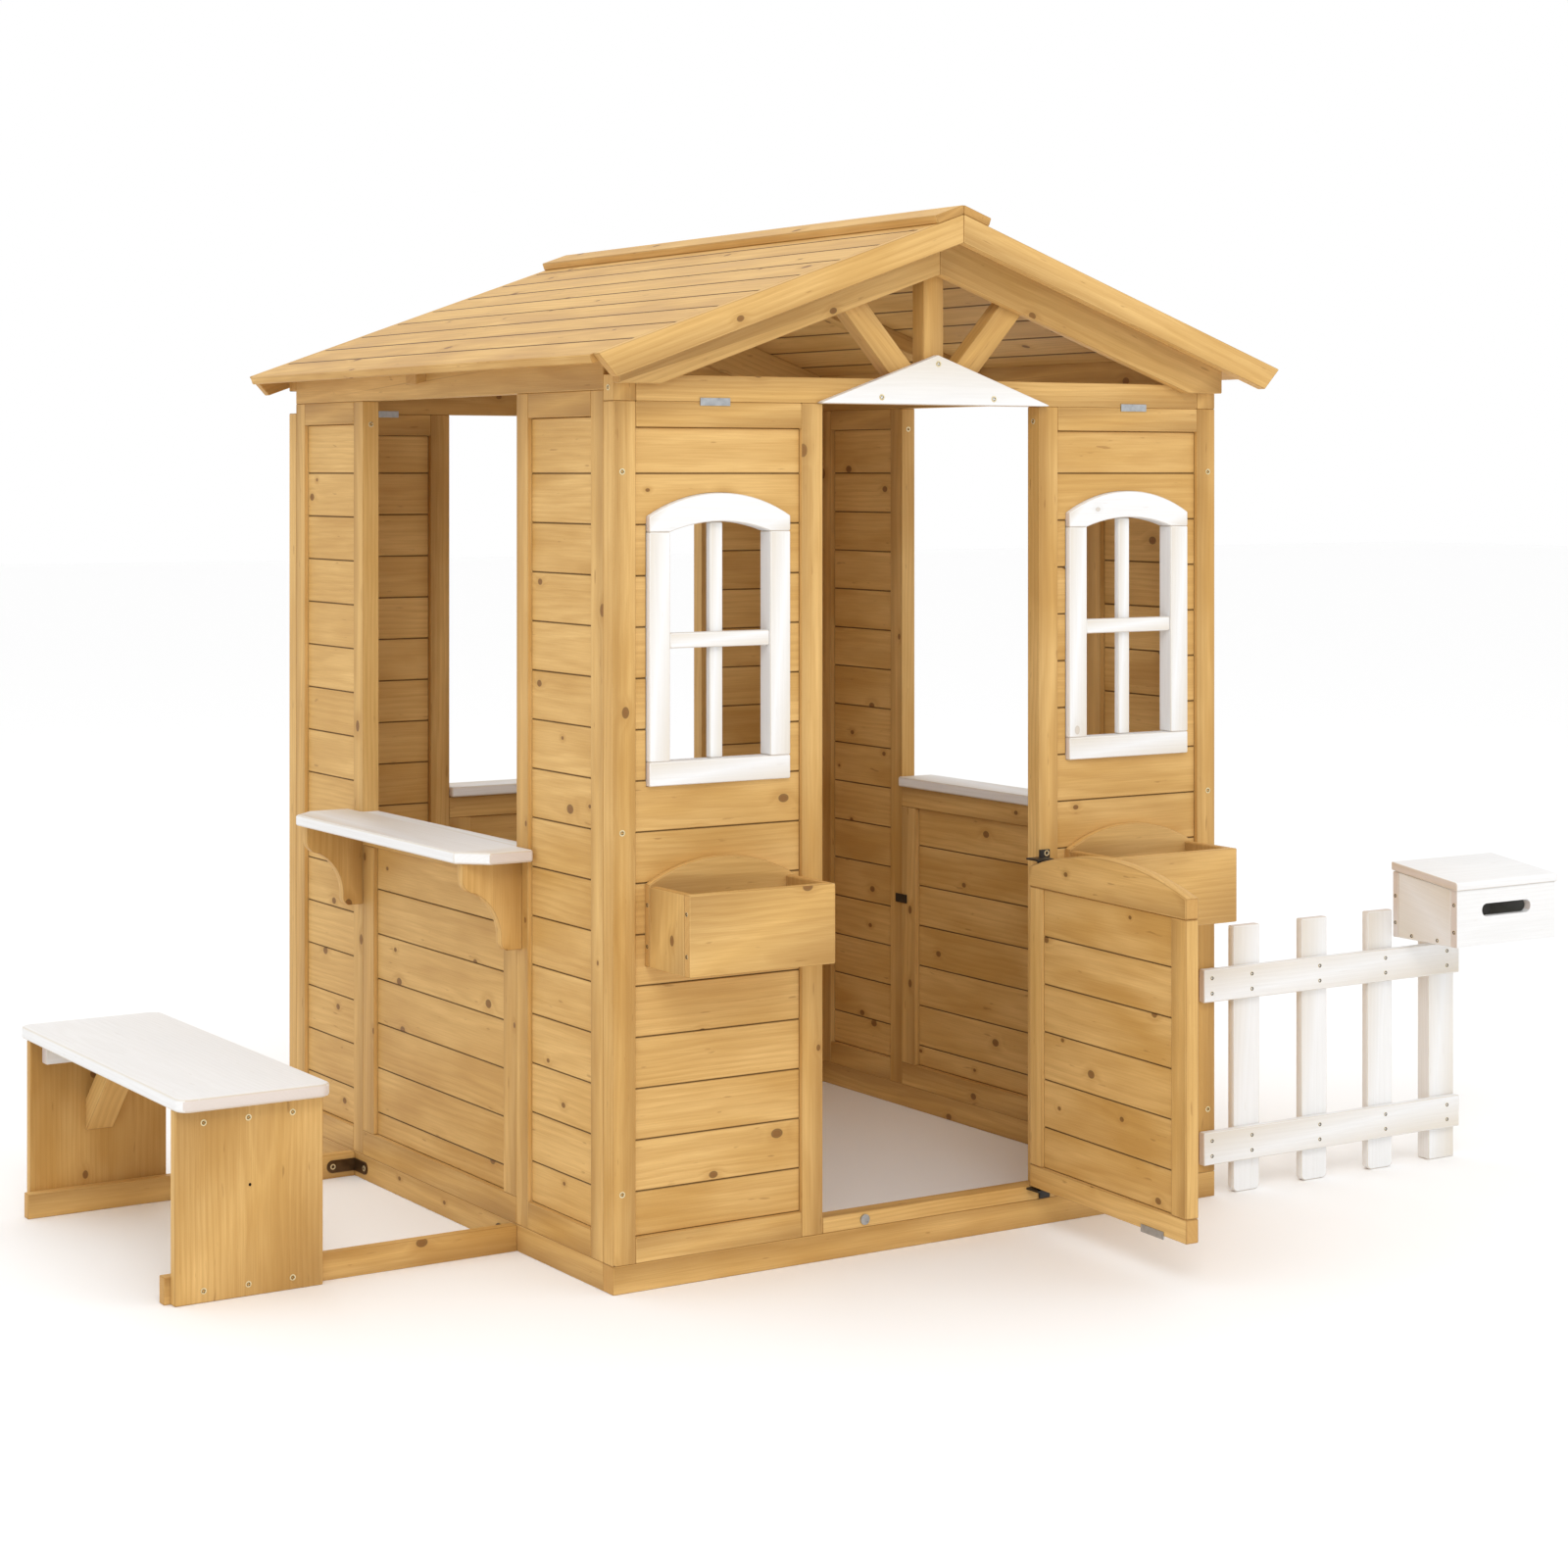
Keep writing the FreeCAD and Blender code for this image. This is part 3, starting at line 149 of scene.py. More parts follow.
def timberFinish(look):
    # Rings are circles about a pith line that runs along the board beside it, so a face cuts
    # them into arches and straight lines and an end shows arcs. All lengths are metres.
    finish = newFinish(look["name"])
    tree = finish.node_tree
    detail = timberDetail
    smooth = {"interpolation_type": "SMOOTHSTEP"}
    layers = {title: addNode(tree, "Attribute", {"attribute_name": title}, {}).outputs
              for title in ("grain", "tone", "edge", "broadFace", "jointReach", "endReach",
                            "endFace")}
    grain = layers["grain"]["Vector"]
    # noises stretched along the grain: ring wander, fine fibres, soft clouds and flecks
    fibresPerMetre = 1000 / look["fibreWidth"]
    noises = []
    for scale, octaves, roughness in (
            (detail["wanderScale"], 3.0, 0.45),
            ((detail["fibreAlong"], fibresPerMetre, fibresPerMetre), 2.0, 0.6),
            (detail["cloudScale"], 2.0, 0.5),
            (detail["fleckScale"], 1.0, 0.5)):
        place = addNode(tree, "Mapping", {}, {"Vector": grain, "Scale": scale}).outputs[0]
        noise = addNode(tree, "TexNoise", {}, {"Vector": place, "Scale": 1.0, "Detail": octaves,
                                               "Roughness": roughness})
        noises.append(noise.outputs[0])
    wanderNoise, fibre, cloud, fleckNoise = noises
    # knots: one cell per knotSpacing, with a random size, and only some of them filled
    perMetre = 1000 / look["knotSpacing"]
    place = addNode(tree, "Mapping", {}, {"Vector": grain, "Scale": detail["knotStretch"]})
    cells = addNode(tree, "TexVoronoi", {"voronoi_dimensions": "2D"},
                    {"Vector": place.outputs[0], "Scale": perMetre})
    chance = addNode(tree, "SeparateColor", {}, {0: cells.outputs["Color"]}).outputs
    small, large = (size * millimetre * perMetre for size in look["knotSize"])
    knotRadius = addNode(tree, "Math", {"operation": "MULTIPLY_ADD"},
                         {0: chance[1], 1: large - small, 2: small}).outputs[0]
    reach = addNode(tree, "Math", {"operation": "DIVIDE"},
                    {0: cells.outputs["Distance"], 1: knotRadius}).outputs[0]
    filled = addNode(tree, "Math", {"operation": "GREATER_THAN"},
                     {0: chance[0], 1: 1 - look["knotShare"]}).outputs[0]
    filled = addNode(tree, "Math", {"operation": "MULTIPLY"},
                     {0: filled, 1: layers["broadFace"]["Fac"]}).outputs[0]
    rimReach = addNode(tree, "Math", {"operation": "SUBTRACT"}, {0: reach, 1: 1.0}).outputs[0]
    rimReach = addNode(tree, "Math", {"operation": "ABSOLUTE"}, {0: rimReach}).outputs[0]
    knotParts = []
    for source, outer, inner in ((reach, 1.05, 0.7), (rimReach, 0.3, 0.0), (reach, 4.5, 0.5)):
        shape = addNode(tree, "MapRange", smooth,
                        {0: source, 1: outer, 2: inner, 3: 0.0, 4: 1.0}).outputs[0]
        shape = addNode(tree, "Math", {"operation": "MULTIPLY"}, {0: shape, 1: filled})
        knotParts.append(shape.outputs[0])
    heart, rim, halo = knotParts
    # growth rings: distance from the pith, pushed aside by slow noise and by the knots
    across = addNode(tree, "SeparateXYZ", {}, {0: grain}).outputs
    square = addNode(tree, "Math", {"operation": "MULTIPLY"},
                     {0: across[1], 1: across[1]}).outputs[0]
    square = addNode(tree, "Math", {"operation": "MULTIPLY_ADD"},
                     {0: across[2], 1: across[2], 2: square}).outputs[0]
    pithReach = addNode(tree, "Math", {"operation": "SQRT"}, {0: square}).outputs[0]
    for push, size in ((wanderNoise, 2 * look["wander"]), (halo, detail["knotPush"])):
        pithReach = addNode(tree, "Math", {"operation": "MULTIPLY_ADD"},
                            {0: push, 1: size * millimetre, 2: pithReach}).outputs[0]
    phase = addNode(tree, "Math", {"operation": "DIVIDE"},
                    {0: pithReach, 1: look["ringWidth"] * millimetre}).outputs[0]
    phase = addNode(tree, "Math", {"operation": "FRACT"}, {0: phase}).outputs[0]
    ringNode = addNode(tree, "ValToRGB", {}, {0: phase})
    ramp = ringNode.color_ramp
    ramp.interpolation = "B_SPLINE"
    ramp.elements[0].color = (0, 0, 0, 1)
    ramp.elements[1].color = (0, 0, 0, 1)
    for stopPlace, level in ((0.45, 0.25), (0.8, 1.0)):
        stop = ramp.elements.new(stopPlace)
        stop.color = (level, level, level, 1)
    ring = ringNode.outputs[0]
    # the painted shade line at a joint: the joint and end reach layers hold the place on the board
    # from -1 to 1, half the board's size in metres, and how many times wider than usual the line is
    insides = []
    for title in ("jointReach", "endReach"):
        held = addNode(tree, "SeparateXYZ", {}, {0: layers[title]["Vector"]}).outputs
        inside = addNode(tree, "Math", {"operation": "ABSOLUTE"}, {0: held[0]}).outputs[0]
        inside = addNode(tree, "Math", {"operation": "SUBTRACT"}, {0: 1.0, 1: inside}).outputs[0]
        inside = addNode(tree, "Math", {"operation": "MULTIPLY"},
                         {0: inside, 1: held[1]}).outputs[0]
        inside = addNode(tree, "Math", {"operation": "DIVIDE"}, {0: inside, 1: held[2]})
        insides.append(inside.outputs[0])
    inside = addNode(tree, "Math", {"operation": "MINIMUM"},
                     {0: insides[0], 1: insides[1]}).outputs[0]
    full, faded = (size * millimetre for size in detail["jointLine"])
    joint = addNode(tree, "MapRange", smooth,
                    {0: inside, 1: full, 2: faded, 3: detail["jointShare"], 4: 0.0}).outputs[0]
    # colour: the board's own tone, then each tint laid over it by its share
    tints = [(detail["bodyShare"], "body")]
    for source, low, high, share, shade in (
            (cloud, 0.35, 0.65, look["cloudShare"], "pale"),
            (ring, 0.0, 1.0, look["ringShare"], "late"),
            (fibre, 0.35, 0.65, look["fibreShare"], "late"),
            (halo, 0.0, 1.0, detail["haloShare"], "late"),
            (heart, 0.0, 1.0, detail["heartShare"], "knotHeart"),
            (rim, 0.0, 1.0, detail["rimShare"], "knotRim"),
            (layers["endFace"]["Fac"], 0.0, 1.0, detail["endShare"], "endGrain"),
            (layers["edge"]["Fac"], 0.0, 1.0, look["edgeShare"], "edge"),
            (fleckNoise, 0.73, 0.79, detail["fleckShare"], "fleck")):
        shape = addNode(tree, "MapRange", {}, {0: source, 1: low, 2: high, 3: 0.0, 4: share})
        tints.append((shape.outputs[0], shade))
    # the last tint is painted shade at the joints between boards
    tints.append((joint, "joint"))
    base = addNode(tree, "Mix", {"data_type": "RGBA"},
                   {0: layers["tone"]["Fac"], 6: linearColor(look["boardDark"]),
                    7: linearColor(look["boardLight"])}).outputs[2]
    for share, shade in tints:
        base = addNode(tree, "Mix", {"data_type": "RGBA"},
                       {0: share, 6: base, 7: linearColor(look[shade])}).outputs[2]
    # relief and sheen
    height = addNode(tree, "Math", {"operation": "MULTIPLY_ADD"},
                     {0: ring, 1: -0.5, 2: fibre}).outputs[0]
    height = addNode(tree, "Math", {"operation": "MULTIPLY_ADD"},
                     {0: rim, 1: -1.0, 2: height}).outputs[0]
    relief = addNode(tree, "Bump", {}, {"Strength": look["bump"], "Height": height,
                                        "Distance": detail["reliefDepth"] * millimetre})
    gloss = addNode(tree, "MapRange", {},
                    {0: cloud, 1: 0.3, 2: 0.7, 3: look["roughness"] - 0.06,
                     4: look["roughness"] + 0.1})
    closeFinish(tree, {"IOR": 1.5, "Specular IOR Level": look["specular"], "Base Color": base,
                       "Roughness": gloss.outputs[0], "Normal": relief.outputs[0]})
    return finish


# Zinc-plated sheet and screws: cool grey with fine brushing and a patchy crystal bloom.
zincLook = {"name": "zincPlatedSteel", "low": "#8F9192", "high": "#C9CBCC", "roughness": 0.34,
            "grit": 0.4, "metallic": 1.0}
yellowZincLook = {"name": "yellowZincPlatedSteel", "low": "#C4AC70", "high": "#FBF1D0",
                  "roughness": 0.3, "grit": 0.4, "metallic": 0.8}
bronzeLook = {"name": "bronzedSteel", "low": "#3B2A18", "high": "#7A5E3E", "roughness": 0.36,
              "grit": 0.5, "metallic": 0.8}
blackLook = {"name": "blackPaintedSteel", "low": "#17130F", "high": "#2E2822",
             "roughness": 0.42, "grit": 0.6, "metallic": 0.0}
screwRecessShade = "#1E150C"  # painted shade over the middle of the head, where the cross recess falls dark


def metalFinish(look):
    # Two noises in object space: grit at its size in millimetres, and a bloom twenty times wider
    finish = newFinish(look["name"])
    tree = finish.node_tree
    place = addNode(tree, "TexCoord", {}, {}).outputs["Object"]
    perMetre = 1000 / look["grit"]
    grit = addNode(tree, "TexNoise", {},
                   {"Vector": place, "Scale": perMetre, "Detail": 3.0}).outputs[0]
    bloom = addNode(tree, "TexNoise", {},
                    {"Vector": place, "Scale": perMetre / 20, "Detail": 4.0}).outputs[0]
    share = addNode(tree, "Math", {"operation": "MULTIPLY_ADD"},
                    {0: grit, 1: 0.4, 2: bloom}).outputs[0]
    share = addNode(tree, "Math", {"operation": "SUBTRACT", "use_clamp": True},
                    {0: share, 1: 0.25}).outputs[0]
    # painted shade over the screw heads' cross recess; other metal has none
    recess = addNode(tree, "Attribute", {"attribute_name": "recess"}, {}).outputs["Fac"]
    color = linearColor(look["low"])
    for amount, shade in ((share, look["high"]), (recess, screwRecessShade)):
        color = addNode(tree, "Mix", {"data_type": "RGBA"},
                        {0: amount, 6: color, 7: linearColor(shade)}).outputs[2]
    gloss = addNode(tree, "MapRange", {},
                    {0: bloom, 1: 0.3, 2: 0.7, 3: look["roughness"] - 0.08,
                     4: look["roughness"] + 0.12})
    relief = addNode(tree, "Bump", {}, {"Strength": 0.15, "Distance": 0.2 * millimetre,
                                        "Height": grit})
    closeFinish(tree, {"Metallic": look["metallic"], "Base Color": color,
                       "Roughness": gloss.outputs[0], "Normal": relief.outputs[0]})
    return finish


finishes = {
    "honey_fir": timberFinish(honeyFir),
    "white_painted_wood": timberFinish(whitePaint),
    "zinc_plated_steel": metalFinish(zincLook),
    "black_steel": metalFinish(blackLook),
    "bronzed_steel": metalFinish(bronzeLook),
    "yellow_zinc_steel": metalFinish(yellowZincLook),
}
print("finishes made:", len(finishes))


# Reading the frame: each CAD node as its separate solids

def solidsOf(node):
    # A solid's triangles follow each other, and it is complete when every edge has been met
    # from both sides. Returns one array of corner places, triangles by 3 by 3, per solid.
    mesh = frame["nodes"][node].data
    places = np.zeros(len(mesh.vertices) * 3, np.float32)
    mesh.vertices.foreach_get("co", places)
    places = places.reshape(-1, 3).astype(float)
    corners = np.zeros(len(mesh.polygons) * 3, np.int32)
    mesh.polygons.foreach_get("vertices", corners)
    corners = corners.reshape(-1, 3)
    same = np.unique(np.round(places * weldSteps).astype(np.int64), axis=0,
                     return_inverse=True)[1]
    waiting = {}
    solids = []
    start = 0
    for count, (a, b, c) in enumerate(same.ravel()[corners].tolist(), 1):
        for first, last in ((a, b), (b, c), (c, a)):
            if waiting.get((last, first), 0):
                waiting[last, first] -= 1
                if not waiting[last, first]:
                    del waiting[last, first]
            else:
                waiting[first, last] = waiting.get((first, last), 0) + 1
        if not waiting:
            solids.append(places[corners[start:count]])
            start = count
    return solids


def outlinesOf(solid, axis):
    # The level outline of a straight solid at its low end along an axis, counter-clockwise
    # about that axis, as loops of 2-D points. None if the solid isn't straight along it.
    depth = solid[:, :, axis]
    low = depth.min()
    high = depth.max()
    ends = np.minimum(abs(depth - low), abs(depth - high))
    if ends.max() > flatLimit:
        return None
    plane = [(axis + 1) % 3, (axis + 2) % 3]
    atLow = abs(depth - low) < flatLimit
    follow = {}
    points = {}
    for first, last in ((0, 1), (1, 2), (2, 0)):
        rows = np.flatnonzero(atLow[:, first] & atLow[:, last] & (atLow.sum(axis=1) == 2))
        for row in rows:
            start = solid[row, first][plane]
            end = solid[row, last][plane]
            keys = [tuple(np.round(p * weldSteps).astype(int)) for p in (start, end)]
            points[keys[0]] = start
            follow[keys[0]] = keys[1]
    loops = []
    while follow:
        key = next(iter(follow))
        loop = []
        while key in follow:
            loop.append(points[key])
            key = follow.pop(key)
        loops.append(withoutStraightPoints(np.array(loop)))
    return loops, low, high


def withoutStraightPoints(outline):
    before = outline - np.roll(outline, 1, axis=0)
    after = np.roll(outline, -1, axis=0) - outline
    turn = before[:, 0] * after[:, 1] - before[:, 1] * after[:, 0]
    size = np.linalg.norm(before, axis=1) * np.linalg.norm(after, axis=1)
    return outline[abs(turn) > 0.004 * size]


# Timber surfaces

def roundedOutline(outline, radius):
    # Each sharp corner P between directions d and e becomes three points: P - t d, a quarter
    # of the way in between, and P + t e, with t = radius * tan(turn / 2). Gives the points,
    # their outward normals, 1 at the middle of a corner, and whether the side that starts at
    # each point belongs to a rounding or a curve.
    before = outline - np.roll(outline, 1, axis=0)
    after = np.roll(outline, -1, axis=0) - outline
    lengths = np.linalg.norm(before, axis=1)
    nextLengths = np.linalg.norm(after, axis=1)
    d = before / lengths[:, None]
    e = after / nextLengths[:, None]
    turn = np.arctan2(d[:, 0] * e[:, 1] - d[:, 1] * e[:, 0], (d * e).sum(axis=1))
    sharp = abs(turn) > math.radians(24)
    t = np.minimum(radius * np.tan(abs(turn) / 2), 0.4 * np.minimum(lengths, nextLengths))
    sideBefore = np.stack([d[:, 1], -d[:, 0]], axis=1)
    sideAfter = np.stack([e[:, 1], -e[:, 0]], axis=1)
    between = sideBefore + sideAfter
    between /= np.linalg.norm(between, axis=1)[:, None]
    first = outline - d * t[:, None]
    last = outline + e * t[:, None]
    middle = 0.25 * first + 0.5 * outline + 0.25 * last
    points = np.stack([first, np.where(sharp[:, None], middle, outline), last], axis=1)
    normals = np.stack([sideBefore, between, sideAfter], axis=1)
    corner = np.stack([sharp * 0.0, sharp * 1.0, sharp * 0.0], axis=1)
    always = np.ones_like(sharp)
    keep = np.stack([sharp, always, sharp], axis=1)
    curved = np.stack([sharp, always, np.roll(~sharp, -1)], axis=1)
    return points[keep], normals[keep], corner[keep], curved[keep]


def carriedBoard(loop, axis, low, high, radius):
    # The outline carried straight along an axis. Near each end, for an angle a of 0, 45 and 90
    # degrees, it is drawn in by radius (1 - sin a) at a height of radius (1 - cos a). Only the
    # rounded edges and the faces along a curve are shaded smooth.
    points, normals, corner, curved = roundedOutline(loop, radius * 1.25)
    radius = min(radius, 0.3 * (high - low))
    angle = np.radians([0.0, 45.0, 90.0])
    inset = radius * (1 - np.sin(angle))
    rise = radius * (1 - np.cos(angle))
    insets = np.concatenate([inset, inset[::-1]])
    heights = np.concatenate([low + rise, high - rise[::-1]])
    rounding = np.array([0.0, 1.0, 0.0, 0.0, 1.0, 0.0])
    flat = points[None] - normals[None] * insets[:, None, None]
    rings, count = flat.shape[:2]
    places = np.zeros((rings, count, 3))
    places[:, :, (axis + 1) % 3] = flat[:, :, 0]
    places[:, :, (axis + 2) % 3] = flat[:, :, 1]
    places[:, :, axis] = heights[:, None]
    edge = np.maximum(rounding[:, None], corner[None])
    index = np.arange(rings * count).reshape(rings, count)
    ahead = np.roll(index, -1, axis=1)
    quads = np.stack([index[:-1], ahead[:-1], ahead[1:], index[1:]], axis=2).reshape(-1, 4)
    faces = quads.tolist() + [index[0, ::-1].tolist(), index[-1].tolist()]
    smooth = np.repeat(curved[None], rings - 1, axis=0)
    smooth[[0, 1, 3, 4]] = True
    return {"places": places.reshape(-1, 3), "faces": faces, "edge": edge.ravel(),
            "smooth": np.append(smooth.ravel(), [False, False])}


def grainAxes(places, alongAxis=None):
    # The board's own directions: long, wide and thick, from the spread of its points
    middle = (places.min(axis=0) + places.max(axis=0)) / 2
    if alongAxis is not None:
        order = [a for a in np.argsort(-np.ptp(places, axis=0)) if a != alongAxis]
        return middle, np.eye(3)[[alongAxis] + order]
    spread = places - places.mean(axis=0)
    directions = np.linalg.svd(spread, full_matrices=False)[2]
    nearest = np.eye(3)[abs(directions).argmax(axis=1)]
    square = abs(directions).max(axis=1) > math.cos(math.radians(8))
    return middle, nearest if square.all() else directions


def pieceName(node):
    words = node.split("_")
    return words[0] + "".join(word.capitalize() for word in words[1:])


boardTones = {  # 0 is the darkest stock and 1 the lightest; a node not named here has 0.5
    "bench_legs": -0.1, "counter_corbels": 0.1, "door_siding": 0.25, "half_wall_siding": 0.4,
    "front_header": 1.0, "front_truss_chords": 0.8, "front_bargeboards": 0.9,
    "flower_box_left": 0.9, "flower_box_right": 0.9, "door_frame": 0.8,
}
toneSpread = 0.28


def newPiece(name, node, parts):
    # parts: per board its places, faces, edge values, and grain directions
    faces = []
    columns = {"grain": [], "tone": [], "edge": [], "jointReach": [], "endReach": []}
    offset = 0
    for part in parts:
        places = part["places"]
        count = len(places)
        faces += [[corner + offset for corner in face] for face in part["faces"]]
        offset += count
        middle, axes = part["axes"]
        pith = np.array([randomDraw.uniform(-40, 40), randomDraw.uniform(-0.05, 0.05),
                         randomDraw.uniform(0.03, 0.09)])
        columns["grain"].append((places - middle) @ axes.T + pith)
        tone = randomDraw.normal(boardTones.get(node, 0.5), toneSpread)
        columns["tone"].append(np.full(count, np.clip(tone, 0, 1)))
        columns["edge"].append(part["edge"])
        farAway = np.tile([0.0, 1.0, 1.0], (count, 1))
        columns["jointReach"].append(part.get("jointReach", farAway))
        columns["endReach"].append(part.get("endReach", farAway))
    mesh = bpy.data.meshes.new(name)
    mesh.from_pydata(np.concatenate([part["places"] for part in parts]).tolist(), [], faces)
    mesh.update()
    normals = np.zeros(len(mesh.polygons) * 3, np.float32)
    mesh.polygons.foreach_get("normal", normals)
    normals = normals.reshape(-1, 3)
    endFace = []
    broadFace = []
    start = 0
    for part in parts:
        facing = abs(normals[start:start + len(part["faces"])] @ part["axes"][1].T)
        endFace.append((facing[:, 0] > 0.8) * 1.0)
        broadFace.append((facing[:, 2] > 0.6) * 1.0)
        start += len(part["faces"])
    for title, values in columns.items():
        kind = "FLOAT_VECTOR" if values[0].ndim == 2 else "FLOAT"
        addLayer(mesh, title, kind, "POINT", np.concatenate(values))
    addLayer(mesh, "endFace", "FLOAT", "FACE", np.concatenate(endFace))
    addLayer(mesh, "broadFace", "FLOAT", "FACE", np.concatenate(broadFace))
    smooth = np.concatenate([part["smooth"] for part in parts])
    mesh.polygons.foreach_set("use_smooth", smooth)
    piece = bpy.data.objects.new(name, mesh)
    scene.collection.objects.link(piece)
    finishPiece(piece, node)
    return piece


def addLayer(mesh, title, kind, domain, values):
    layer = mesh.attributes.new(title, kind, domain)
    layer.data.foreach_set("vector" if kind == "FLOAT_VECTOR" else "value",
                           values.astype(np.float32).ravel())


def finishPiece(piece, node):
    slot = slotOfNode[node]
    piece.data.materials.append(finishes[slot])
    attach(piece, bodyOfNode[node])
    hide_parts(node)


def straightSolid(solid):
    # Tries the three axes, the thinnest first, and gives the first that the solid is straight on
    for axis in np.argsort(np.ptp(solid.reshape(-1, 3), axis=0)):
        found = outlinesOf(solid, axis)
        if found:
            return found[0], axis, found[1], found[2]
    return None


def boardFrom(solid, radius, alongAxis=None):
    # A board with rounded edges, or the plain solid where it has a hole or isn't straight
    found = straightSolid(solid)
    if found is None or len(found[0]) > 1:
        return plainCopy(solid, alongAxis)
    loops, axis, low, high = found
    part = carriedBoard(loops[0], axis, low, high, radius)
    part["axes"] = grainAxes(part["places"], alongAxis)
    return part


def plainCopy(solid, alongAxis=None):
    # The solid's own triangles, merged
    corners = solid.reshape(-1, 3)
    places, index = np.unique(np.round(corners * weldSteps), axis=0, return_inverse=True)
    places = places / weldSteps
    return {"places": places, "faces": index.reshape(-1, 3).tolist(),
            "edge": np.zeros(len(places)), "smooth": np.zeros(len(index) // 3, bool),
            "axes": grainAxes(places, alongAxis)}


# Edge radius in millimetres, by what the board is; the axis of the grain where it isn't the
# board's longest side
boardEdges = {
    "siding": 0.3, "window_bars": 2.0, "window_frames": 1.6, "counter_shelf": 3.0, "sills": 3.0,
    "bench_seat": 3.2, "mailbox": 1.6, "fence": 1.8, "door_frame": 2.0, "flower_box": 1.4,
    "bench_legs": 1.6, "bargeboards": 1.4, "ridge": 1.6, "roof_boards": 1.0, "other": 1.2,
}
grainAlong = {"bench_legs": 2, "counter_corbels": 2, "front_panel_siding": 0,
              "back_panel_siding": 0, "left_panel_siding": 1, "right_panel_siding": 1,
              "door_pediment": 0, "roof_boards_left": 1, "roof_boards_right": 1,
              "mailbox_lid": 0}


def edgeRadius(node):
    for word, radius in boardEdges.items():
        if word in node:
            return radius * millimetre
    return boardEdges["other"] * millimetre


def reachAlong(part, direction):
    # The place along one of the board's directions, from -1 to 1, and half its length
    along = (part["places"] - part["axes"][0]) @ part["axes"][1][direction]
    half = np.ptp(along) / 2
    return (along - (along.max() + along.min()) / 2) / half, half


def paintJointShade(part, width=1.0, eave=False):
    # Boards laid edge to edge get painted shade along their long edges, for the dark gaps between
    # them. At the eave only the inner edge does: the place runs from 0 there to -1.
    place, half = reachAlong(part, 1)
    if eave:
        outer = part["places"][abs(part["places"][:, 0]).argmax()]
        side = np.sign((outer - part["axes"][0]) @ part["axes"][1][1])
        place = (place * side - 1) / 2
        half = 2 * half
    part["jointReach"] = np.stack([place, np.full(len(place), half),
                                   np.full(len(place), width)], axis=1)


def paintEndShade(part):
    # Siding boards meet the frame's uprights in a line of painted shade at both ends
    place, half = reachAlong(part, 0)
    part["endReach"] = np.stack([place, np.full(len(place), half), np.ones(len(place))], axis=1)


jointedWords = ("siding", "gable_boards", "roof_boards")
timberSlots = ("honey_fir", "white_painted_wood")
doorPivot = [joint for joint in frame["joints"] if joint["name"] == "door_hinge"][0]
doorShut = math.radians(doorPivot["range_deg"][0])
pivotPlace = np.array(doorPivot["pos_m"])


def turnDoor(places, angle):
    # Turns points about the upright pivot line
    c = math.cos(angle)
    s = math.sin(angle)
    turned = (places - pivotPlace) @ np.array([[c, s, 0], [-s, c, 0], [0, 0, 1.0]])
    return turned + pivotPlace


def makeTimber():
    for node, slot in slotOfNode.items():
        if slot not in timberSlots or node in ("door_frame", "door_siding", "mailbox_box"):
            continue
        parts = [boardFrom(solid, edgeRadius(node), grainAlong.get(node))
                 for solid in solidsOf(node)]
        # painted shade along the joints of siding, gable and roof boards, and at the siding's ends
        if any(word in node for word in jointedWords):
            isRoof = "roof" in node
            for place, part in enumerate(parts, 1):
                paintJointShade(part, 2.2 if isRoof else 1.0, isRoof and place == len(parts))
                if "siding" in node:
                    paintEndShade(part)
        newPiece(pieceName(node), node, parts)


# The half door is shaped shut, square to the wall, and then swung open to its rest place
doorLook = {"shoulderRise": 27.0, "hingeRadius": 6.0, "edgeRadius": 2.0, "archPoints": 33}


def doorHeadRail(low, high):
    # Its top is an arc over the whole width: z = crown - R + sqrt(R^2 - x^2), where R comes
    # from half the width and the rise above the shoulders
    half = (high[0] - low[0]) / 2
    middle = (high[0] + low[0]) / 2
    shoulder = low[2] + doorLook["shoulderRise"] * millimetre
    rise = high[2] - shoulder
    radius = (half ** 2 + rise ** 2) / (2 * rise)
    x = np.linspace(half, -half, doorLook["archPoints"])
    arch = np.stack([high[2] - radius + np.sqrt(radius ** 2 - x ** 2), x + middle], axis=1)
    foot = np.array([[low[2], low[0]], [low[2], high[0]]])
    loop = np.concatenate([foot, arch])
    area = loop[:, 0] * np.roll(loop[:, 1], -1) - loop[:, 1] * np.roll(loop[:, 0], -1)
    if area.sum() < 0:
        loop = loop[::-1]
    return carriedBoard(loop, 1, low[1], high[1], doorLook["edgeRadius"] * millimetre)


def doorFootRail(low, high):
    # A rectangle in plan with its two hinge-side corners turned by quarter circles
    r = doorLook["hingeRadius"] * millimetre
    a = np.linspace(0, math.pi / 2, 7)
    near = np.stack([high[0] - r + r * np.sin(a), low[1] + r - r * np.cos(a)], axis=1)
    far = np.stack([high[0] - r + r * np.cos(a), high[1] - r + r * np.sin(a)], axis=1)
    loop = np.concatenate([[[low[0], low[1]]], near, far, [[low[0], high[1]]]])
    return carriedBoard(loop, 2, low[2], high[2], doorLook["edgeRadius"] * millimetre)


